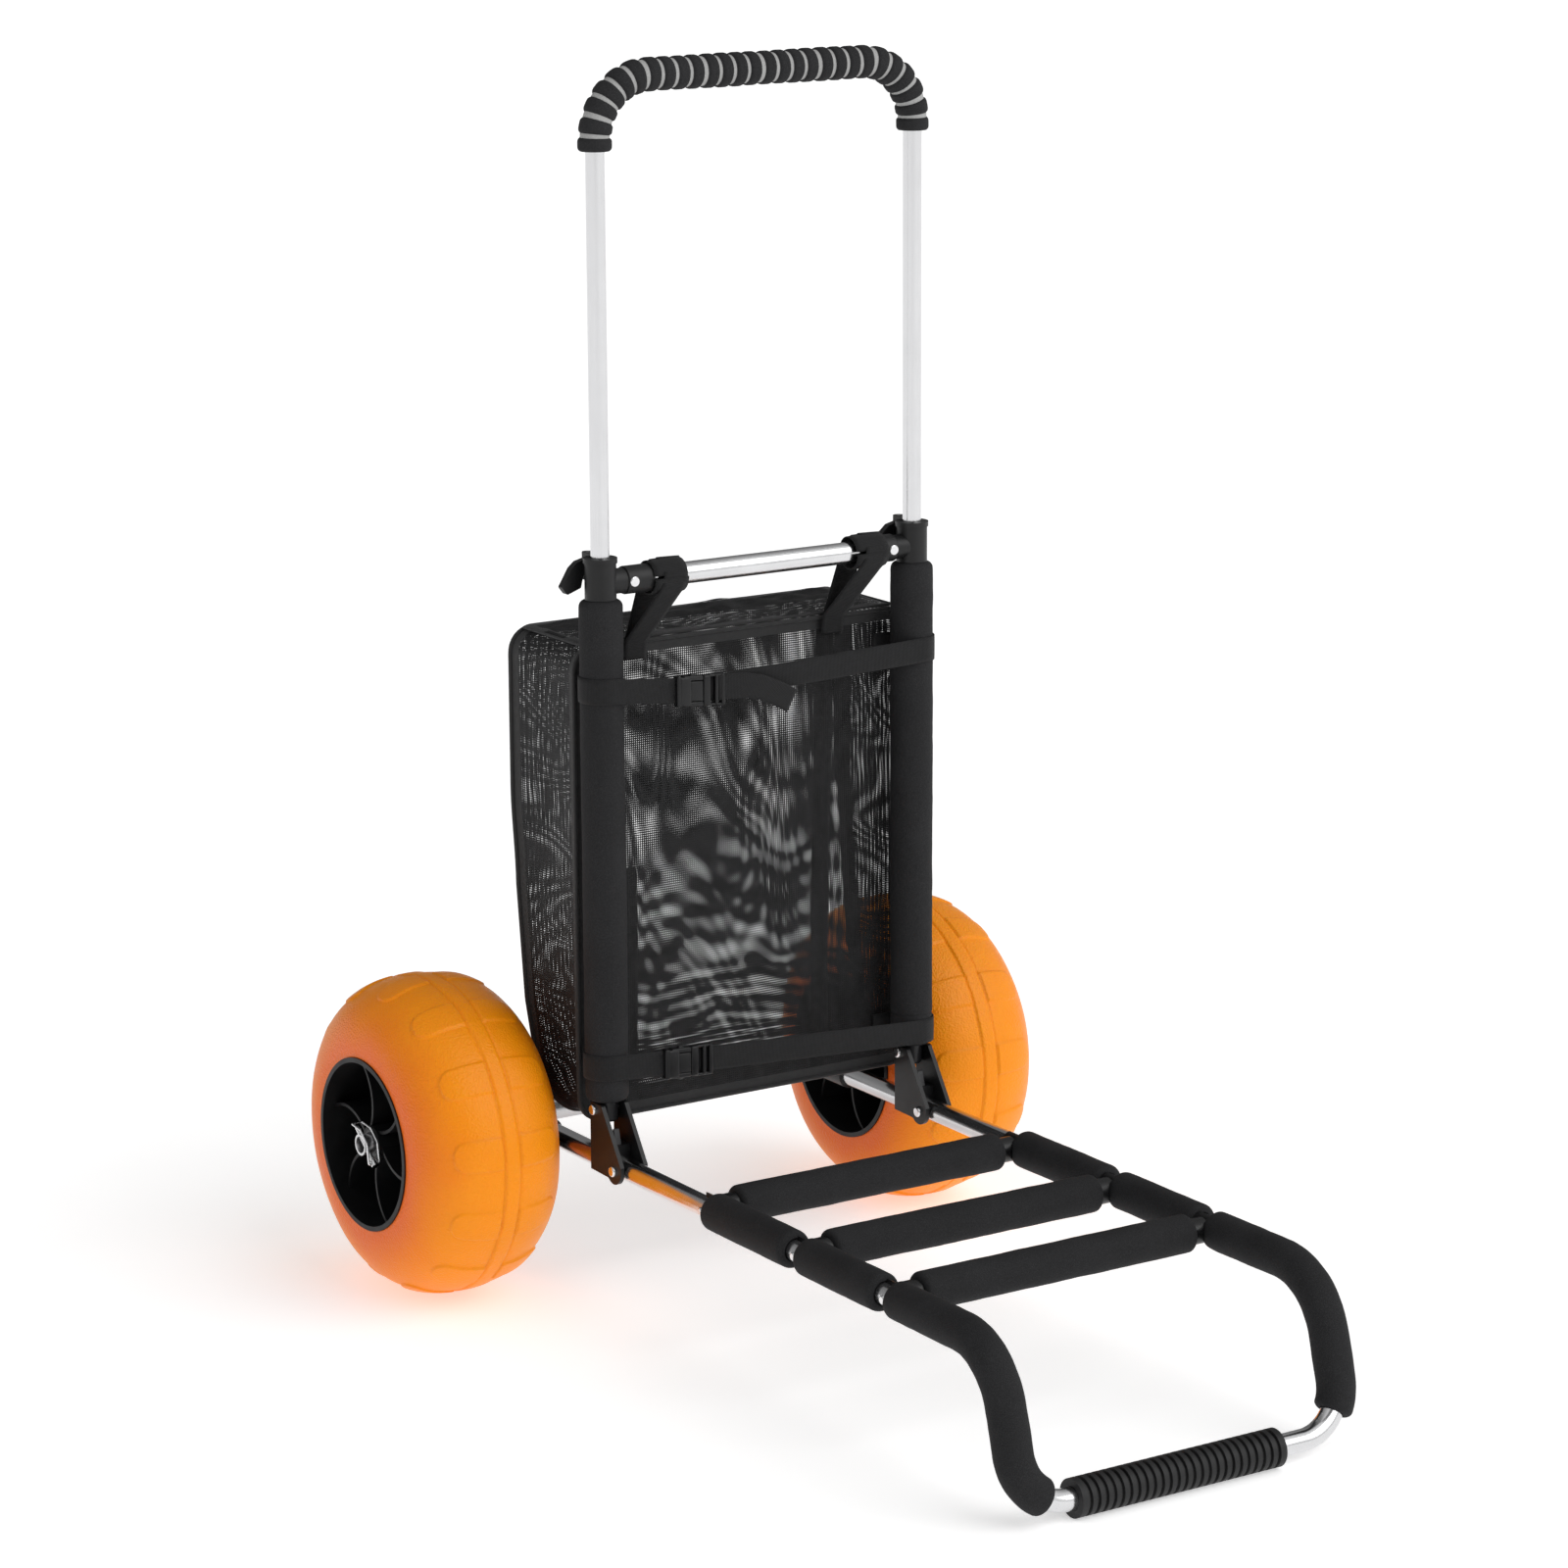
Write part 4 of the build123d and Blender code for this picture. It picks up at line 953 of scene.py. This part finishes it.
def make_tyre(side):
    low, high, centre = span(f"tyre_{side}")
    half = (high.x - low.x) / 2
    top = (high.z - low.z) / 2 - 0.0008
    foot = 0.0890
    around, steps = 780, 170
    lugs = 13
    profile = []
    for k in range(steps + 1):
        share = -1 + 2 * k / steps
        x = math.sin(share * math.pi / 2)
        height = (1 - abs(x) ** 2.4) ** (1 / 2.4) if abs(x) < 1 else 0.0
        profile.append((x * half, foot + (top - foot) * height))
    run = [0.0]
    for a, b in zip(profile, profile[1:]):
        run.append(run[-1] + math.hypot(b[0] - a[0], b[1] - a[1]))
    middle = run[steps // 2]
    lip = [(-half + 0.010, foot - 0.0015), (-half + 0.002, foot - 0.0010)]
    sections = []
    table = [(x, r, None) for x, r in lip]
    table += [(x, r, s - middle) for (x, r), s in zip(profile, run)]
    table += [(-x, r, None) for x, r in reversed(lip)]
    slope = []
    for k in range(len(table)):
        a, b = table[max(k - 1, 0)], table[min(k + 1, len(table) - 1)]
        dx, dr = b[0] - a[0], b[1] - a[1]
        size = math.hypot(dx, dr) or 1
        slope.append((-dr / size, dx / size))
    # Lug outline in the unrolled tread: rounded outer corners, open at the band.
    lug_half, lug_end, lug_round = 0.0165, 0.062, 0.014
    for (x, radius, place), (nx, nr) in zip(table, slope):
        ring = []
        for n in range(around):
            turn = 2 * math.pi * n / around
            lift = 0.0
            if place is not None:
                d = abs(place)
                arc = ((turn / (2 * math.pi) * lugs + 0.25) % 1 - 0.5) * 2 * math.pi * top / lugs
                px = max(d - (lug_end - lug_round), 0)
                py = max(abs(arc) - (lug_half - lug_round), 0)
                edge = math.hypot(px, py) - lug_round
                rise = min(max(0.5 - edge / 0.0018, 0), 1)
                rise = rise * rise * (3 - 2 * rise)
                lift += 0.0019 * rise * min(max((d - 0.0090) / 0.001, 0), 1)
                # Central band between two mould lines.
                band = min(max((0.0086 - d) / 0.0016, 0), 1)
                lift += 0.0015 * band * band * (3 - 2 * band)
                lift -= 0.0013 * math.exp(-(((d - 0.0092) / 0.0009) ** 2))
                lift += 0.0003 * math.exp(-(((place - 0.0008) / 0.0006) ** 2))
                lift -= 0.0018
            y, z = math.cos(turn), math.sin(turn)
            spot = Vector((centre.x + x, centre.y + y * radius, centre.z + z * radius))
            out = Vector((nx, y * nr, z * nr))
            lift += 0.0006 * noise.noise(spot * 16)
            if place is not None:
                spot += out * lift
            ring.append(spot)
        sections.append(ring)
    verts, faces = rings(sections, closed_ends=False)
    piece(
        f"tyre_skin_{side}",
        verts,
        faces,
        "tyre",
        f"wheel_{side}",
        (f"tyre_{side}",),
    )


for side, s in sides:
    make_tyre(side)


# ================= Bag =================

bag_half = (bag_high.x - bag_low.x) / 2
front_y = bag_low.y + 0.0012
rear_y = bag_high.y - 0.0015
top_z = bag_high.z
low_z = bag_low.z + 0.004
corner_r = 0.024


def rear_at(z):
    """The rear panel hangs in towards the front at its foot."""
    table = (
        (low_z, 0.085),
        (0.215, 0.062),
        (0.240, 0.040),
        (0.300, 0.022),
        (0.419, 0.008),
        (0.520, 0.0),
        (0.9, 0.0),
    )
    for (z0, d0), (z1, d1) in zip(table, table[1:]):
        if z <= z1:
            t = min(max((z - z0) / (z1 - z0), 0), 1)
            t = t * t * (3 - 2 * t) if z0 > 0.3 else t
            return rear_y - (d0 + (d1 - d0) * t)
    return rear_y


def panel_outline():
    """The panels' rounded outline as (x, z) round its middle height, clockwise from the top middle."""
    w, h, r = bag_half, (top_z - low_z) / 2, corner_r
    middle = (top_z + low_z) / 2
    corners = [(w - r, h - r, 90), (w - r, -h + r, 0), (-w + r, -h + r, -90), (-w + r, h - r, -180)]
    line = [(0.0, h)]
    for cx, cz, start in corners:
        for k in range(9):
            turn = math.radians(start - 90 * k / 8)
            line.append((cx + r * math.cos(turn), cz + r * math.sin(turn)))
    line.append((0.0, h))
    return line, middle


outline, outline_mid = panel_outline()
outline = [(x, z + outline_mid) for x, z in outline]
perimeter = even([(x, 0, z) for x, z in outline], 0.005)


def front_place(x, z):
    """Front panel: held flat at its edges, soft shallow folds in between."""
    inset = min(bag_half - abs(x), z - low_z, top_z - z)
    free = min(max(inset / 0.05, 0), 1)
    soft = noise.noise(Vector((x * 9, 0.3, z * 4))) * 0.0035
    soft += noise.noise(Vector((x * 30, 4.3, z * 12))) * 0.0012
    return front_y + 0.0015 + soft * free


def rear_place(x, z):
    inset = min(bag_half - abs(x), z - low_z, top_z - z)
    free = min(max(inset / 0.05, 0), 1)
    soft = noise.noise(Vector((x * 7, 9.3, z * 5))) * 0.004
    soft += noise.noise(Vector((x * 24, 2.3, z * 16))) * 0.0015
    return rear_at(z) - 0.002 + soft * free


def panel(place, tape, strips=(), nx=100, nz=124):
    """A panel inside the rounded outline. Faces within the tape's width of the edge are solid binding."""
    verts, faces, uvs, solid = [], [], [], []
    for k in range(nz + 1):
        z = low_z + (top_z - low_z) * k / nz
        d = min(z - low_z, top_z - z)
        cut = corner_r - math.sqrt(max(corner_r**2 - max(corner_r - d, 0) ** 2, 0)) if d < corner_r else 0.0
        half = bag_half - cut
        for n in range(nx + 1):
            x = -half + 2 * half * n / nx
            verts.append(Vector((x, place(x, z), z)))
            uvs.append((x + 0.3, z))
    for k in range(nz):
        for n in range(nx):
            a = k * (nx + 1) + n
            face = (a, a + 1, a + nx + 2, a + nx + 1)
            middle = sum((verts[i] for i in face), Vector()) / 4
            edge = min(bag_half - abs(middle.x), middle.z - low_z, top_z - middle.z)
            drop = top_z - middle.z
            if edge < tape or any(low < middle.x - lean * drop < high for low, high, lean in strips):
                solid.append(len(faces))
            faces.append(face)
    return verts, faces, uvs, solid


verts, faces, uvs, solid = panel(front_place, 0.011)
piece(
    "bag_front_panel",
    verts,
    faces,
    "mesh_front",
    "mast",
    ("bag",),
    uvs,
    second="binding",
    second_faces=solid,
)
verts, faces, uvs, solid = panel(rear_place, 0.011, nx=80, nz=100)
piece(
    "bag_rear_panel",
    verts,
    faces,
    "mesh_back",
    "mast",
    (),
    uvs,
    second="binding",
    second_faces=solid,
)


def gusset():
    """Strip between the panels, round the sides and the bottom; the lid closes the top."""
    verts, faces, uvs, solid = [], [], [], []
    count = 26
    # Leave out the top run between the corners.
    flat_half = bag_half - corner_r + 0.001
    ring = [p for p in perimeter if not (p.z > top_z - 0.0015 and abs(p.x) < flat_half)]
    start = max(range(len(ring)), key=lambda i: (ring[i] - ring[i - 1]).length)
    ring = ring[start:] + ring[:start]
    run = 0.0
    for k, p in enumerate(ring):
        if k:
            run += (p - ring[k - 1]).length
        f, r = front_place(p.x, p.z), rear_place(p.x, p.z)
        for n in range(count + 1):
            t = n / count
            y = f + (r - f) * t
            hang = math.sin(math.pi * t)
            soft = noise.noise(Vector((y * 14, p.z * 7, p.x * 3))) * 0.004
            soft += noise.noise(Vector((y * 40, p.z * 24, 2))) * 0.0015
            on_a_side = abs(p.x) > bag_half - corner_r * 0.6
            inward = Vector((-1 if p.x > 0 else 1, 0, 0)) if on_a_side else Vector((0, 0, 1))
            verts.append(p + Vector((0, y - p.y, 0)) + inward * (hang * (0.003 + soft)))
            uvs.append((run, y))
    for k in range(len(ring) - 1):
        for n in range(count):
            a = k * (count + 1) + n
            if n < 2 or n >= count - 3:
                solid.append(len(faces))
            faces.append((a, a + 1, a + count + 2, a + count + 1))
    return verts, faces, uvs, solid


verts, faces, uvs, solid = gusset()
piece(
    "bag_gusset",
    verts,
    faces,
    "mesh_side",
    "mast",
    (),
    uvs,
    second="binding",
    second_faces=solid,
)

# Piping along both panel edges.
for name, place, size in (("front", front_place, 0.0026), ("rear", rear_place, 0.0030)):
    line = [Vector((p.x, place(p.x, p.z), p.z)) for p in perimeter[:-1]]
    verts, faces, uvs = tube_line(line, size, (0, 1, 0), 10, closed=True, flat=0.8)
    piece(f"bag_piping_{name}", verts, faces, "binding", "mast", (), uvs)


def corner_drop(x):
    """How far the bag's outline lies below its top at the rounded corners."""
    past = max(abs(x) - (bag_half - corner_r), 0)
    return corner_r - math.sqrt(corner_r**2 - past**2)


def lid_shape():
    """Mesh lid: a loose rumpled sheet, zipped at the front, sewn at the rear."""
    nx, ny = 110, 40
    verts, faces, uvs, solid = [], [], [], []
    half = bag_half - 0.012
    y0, y1 = front_y + 0.004, rear_y - 0.003
    for k in range(ny + 1):
        t = k / ny
        y = y0 + (y1 - y0) * t
        for n in range(nx + 1):
            x = -half + 2 * half * n / nx
            free = min(min(t, 1 - t) * 6, 1) * min((half - abs(x)) / 0.03, 1)
            soft = noise.noise(Vector((x * 13, y * 22, 3.1))) * 0.009
            soft += noise.noise(Vector((x * 34, y * 50, 1.1))) * 0.0035
            crease = -abs(noise.noise(Vector((x * 20 + y * 30, y * 12, 8)))) * 0.005
            z = lid_high.z - 0.001 - corner_drop(x) + (soft + crease + 0.002) * free
            verts.append(Vector((x, y, z)))
            uvs.append((x + 0.3, y))
    for k in range(ny):
        for n in range(nx):
            a = k * (nx + 1) + n
            if k < 4 or k >= ny - 4 or n < 3 or n >= nx - 3:
                solid.append(len(faces))
            faces.append((a, a + 1, a + nx + 2, a + nx + 1))
    return verts, faces, uvs, solid


verts, faces, uvs, solid = lid_shape()
piece(
    "bag_lid_sheet",
    verts,
    faces,
    "mesh_lid",
    "bag_lid",
    ("bag_lid",),
    uvs,
    second="binding",
    second_faces=solid,
)


def zip_line():
    """Coil zip along the front and sides of the lid."""
    half = bag_half - 0.013
    z = lid_high.z - 0.0005
    back_y, fore_y = rear_y - 0.012, front_y + 0.003
    path = [(-half, back_y, z), (-half, fore_y, z), (half, fore_y, z), (half, back_y, z)]
    line = [p - Vector((0, 0, corner_drop(p.x))) for p in fillet_path(path, [0.012, 0.012], 0.0015)]
    parts = [tube_line(line, 0.0016, (0, 0, 1), 8, flat=0.7)]
    return join(parts)


verts, faces, uvs = zip_line()
piece("bag_lid_zip", verts, faces, "binding", "bag_lid", (), uvs)

# Sewn webbing runs on the front panel.
for name, x_top, x_low, width, z_top, z_low in (
    ("right", 0.097, 0.087, 0.021, top_z - 0.010, low_z + 0.008),
    ("left", -0.1375, -0.1375, 0.013, 0.45, low_z + 0.008),
):
    ends = even([(x_top, 0, z_top), (x_low, 0, z_low)], 0.006)
    line = [Vector((p.x, front_place(p.x, p.z) + 0.0012, p.z)) for p in ends]
    verts, faces, uvs = ribbon(line, (1, 0, 0), width, 0.0012)
    piece(f"bag_strip_{name}", verts, faces, "webbing", "mast", (), uvs)


# ================= Straps round the uprights =================

web_w, web_t = 0.025, 0.0016
reach = mast_foam_r + 0.0009


def strap_line(z_left, z_mid, z_right, x_mid):
    """Closed round the front of both uprights and sewn to the bag behind them."""
    line = []

    def height(x):
        if x < x_mid:
            t = (x + frame_x) / (x_mid + frame_x)
            return z_left + (z_mid - z_left) * t
        t = (x - x_mid) / (frame_x - x_mid)
        return z_mid + (z_right - z_mid) * t

    back = mast_y + reach - 0.0002
    line.append(Vector((-frame_x + 0.032, back, z_left)))
    for k in range(31):
        turn = math.radians(90 + 180 * k / 30)
        line.append(Vector((-frame_x + reach * math.cos(turn), mast_y + reach * math.sin(turn), z_left)))
    for k in range(1, 60):
        x = -frame_x + 2 * frame_x * k / 60
        line.append(Vector((x, mast_y - reach, height(x))))
    for k in range(31):
        turn = math.radians(-90 + 180 * k / 30)
        line.append(Vector((frame_x + reach * math.cos(turn), mast_y + reach * math.sin(turn), z_right)))
    line.append(Vector((frame_x - 0.032, back, z_right)))
    return even(line, 0.004)


def buckle(x, z, lean):
    """Side-release buckle: socket on the left, plug with two prongs on the right."""
    y = mast_y - reach - 0.0005
    parts_socket = [
        rounded_box((x - 0.029, y - 0.005, z - 0.0155), (x - 0.0235, y + 0.004, z + 0.0155), 0.0016),
        rounded_box((x - 0.0215, y - 0.0050, z - 0.0155), (x + 0.001, y + 0.004, z - 0.0105), 0.0014),
        rounded_box((x - 0.0215, y - 0.0050, z + 0.0105), (x + 0.001, y + 0.004, z + 0.0155), 0.0014),
        rounded_box((x - 0.0260, y - 0.0055, z - 0.0145), (x - 0.0130, y + 0.0035, z + 0.0145), 0.0018),
        rounded_box((x - 0.0140, y - 0.0052, z - 0.0100), (x + 0.0005, y - 0.0022, z + 0.0100), 0.0010),
        rounded_box((x - 0.0140, y + 0.0010, z - 0.0100), (x + 0.0005, y + 0.0035, z + 0.0100), 0.0010),
    ]
    parts_plug = [
        rounded_box((x + 0.0015, y - 0.0048, z - 0.0155), (x + 0.0100, y + 0.0038, z + 0.0155), 0.0018),
        rounded_box((x + 0.0150, y - 0.0052, z - 0.0155), (x + 0.0185, y + 0.0030, z + 0.0155), 0.0014),
        rounded_box((x + 0.0225, y - 0.0052, z - 0.0155), (x + 0.0265, y + 0.0030, z + 0.0155), 0.0014),
        rounded_box((x + 0.0080, y - 0.0040, z - 0.0160), (x + 0.0262, y + 0.0030, z - 0.0132), 0.0012),
        rounded_box((x + 0.0080, y - 0.0040, z + 0.0132), (x + 0.0262, y + 0.0030, z + 0.0160), 0.0012),
        rounded_box((x - 0.0090, y - 0.0018, z - 0.0030), (x + 0.0040, y + 0.0008, z + 0.0030), 0.0008),
    ]
    for sign in (-1, 1):
        line = [
            Vector((x + 0.002, y - 0.0008, z + sign * 0.0110)),
            Vector((x - 0.004, y - 0.0008, z + sign * 0.0125)),
            Vector((x - 0.009, y - 0.0008, z + sign * 0.0158)),
            Vector((x - 0.0125, y - 0.0008, z + sign * 0.0150)),
        ]
        parts_plug.append(tube_line(even(line, 0.0015), 0.0024, (0, 1, 0), 10, flat=0.9))
    result = []
    for parts in (parts_socket, parts_plug):
        verts, faces, uvs = join(parts)
        verts = [Vector((v.x, v.y, z + (v.z - z) + (v.x - x) * lean)) for v in verts]
        result.append((verts, faces, uvs))
    return result


sockets, plugs = [], []
for which, heights, x_mid in (
    ("upper", (0.643, 0.6335, 0.643), -0.085),
    ("lower", (0.2605, 0.2555, 0.2400), -0.103),
):
    node = f"{which}_strap"
    line = strap_line(*heights, x_mid)
    verts, faces, uvs = ribbon(line, (0, 0, 1), web_w, web_t)
    band = piece(f"{which}_webbing", verts, faces, "webbing", "mast", (node,), uvs)
    lean = (heights[1] - heights[0]) / (x_mid + frame_x) * 0.6
    socket, plug = buckle(x_mid, heights[1], lean)
    sockets.append(socket)
    plugs.append(plug)
verts, faces, uvs = join(sockets)
piece("buckle_socket_pair", verts, faces, "buckle", "mast", ("buckle_sockets",))
verts, faces, uvs = join(plugs)
piece("buckle_plug_pair", verts, faces, "buckle", "mast", ("buckle_plugs",))

# Loose end of the upper strap.
x0, z0 = -0.085 + 0.018, 0.6335
y0 = mast_y - reach - 0.0065
tail = [
    Vector((x0, y0 + 0.0028, z0 + 0.0005)),
    Vector((x0 + 0.012, y0 + 0.0010, z0 + 0.001)),
    Vector((x0 + 0.030, y0 - 0.0004, z0 + 0.0005)),
    Vector((x0 + 0.050, y0 - 0.0008, z0 - 0.004)),
    Vector((x0 + 0.068, y0 - 0.0004, z0 - 0.012)),
    Vector((x0 + 0.086, y0 + 0.0000, z0 - 0.022)),
]
line = even(tail, 0.003)
verts, faces, uvs = ribbon(line, (0, 0, 1), web_w, web_t)
made = piece("strap_loose_end", verts, faces, "webbing", "mast", ("strap_tail",), uvs)


# ================= Hangers over the cross tube =================

branch_r = 0.0144
for side, s in sides:
    low, high, middle = span(f"hanger_{side}")
    cx, cz = middle.x, span("cross_tube")[2].z
    r = branch_r + 0.0012
    foot_z = low.z + 0.004
    foot_y = bag_low.y - 0.0018
    slant = -0.020 if side == "left" else -0.024
    # Wide hook-and-loop band round the tube, its end lapped at the front.
    loop = []
    for k in range(49):
        turn = math.radians(-100 - 350 * k / 48) - math.pi / 2
        reach = r + 0.0016 * k / 48
        loop.append(Vector((cx, mast_y + reach * math.cos(turn), cz + reach * math.sin(turn))))
    parts = [ribbon(even(loop, 0.003), (1, 0, 0), 0.038, 0.0016)]
    front = [
        Vector((cx + 0.006, mast_y + 0.002, cz + r + 0.0022)),
        Vector((cx + 0.005, mast_y - r - 0.0016, cz + 0.004)),
        Vector((cx + 0.002, mast_y - r - 0.0004, cz - 0.009)),
        Vector((cx + slant, foot_y - 0.0030, top_z + 0.002)),
        Vector((cx + slant, foot_y, foot_z)),
    ]
    rear = [
        Vector((cx - 0.002, mast_y + 0.002, cz + r + 0.0014)),
        Vector((cx - 0.002, mast_y + r + 0.0022, cz + 0.002)),
        Vector((cx + slant * 0.8, foot_y + 0.0034, top_z + 0.003)),
        Vector((cx + slant, foot_y + 0.0016, foot_z)),
    ]
    for path in (front, rear):
        parts.append(ribbon(fillet_path(path, [0.004] * (len(path) - 2), 0.003), (1, 0, 0), 0.026, 0.0014))
    verts, faces, uvs = join(parts)
    piece(f"hanger_webbing_{side}", verts, faces, "webbing", "mast", (f"hanger_{side}",), uvs)
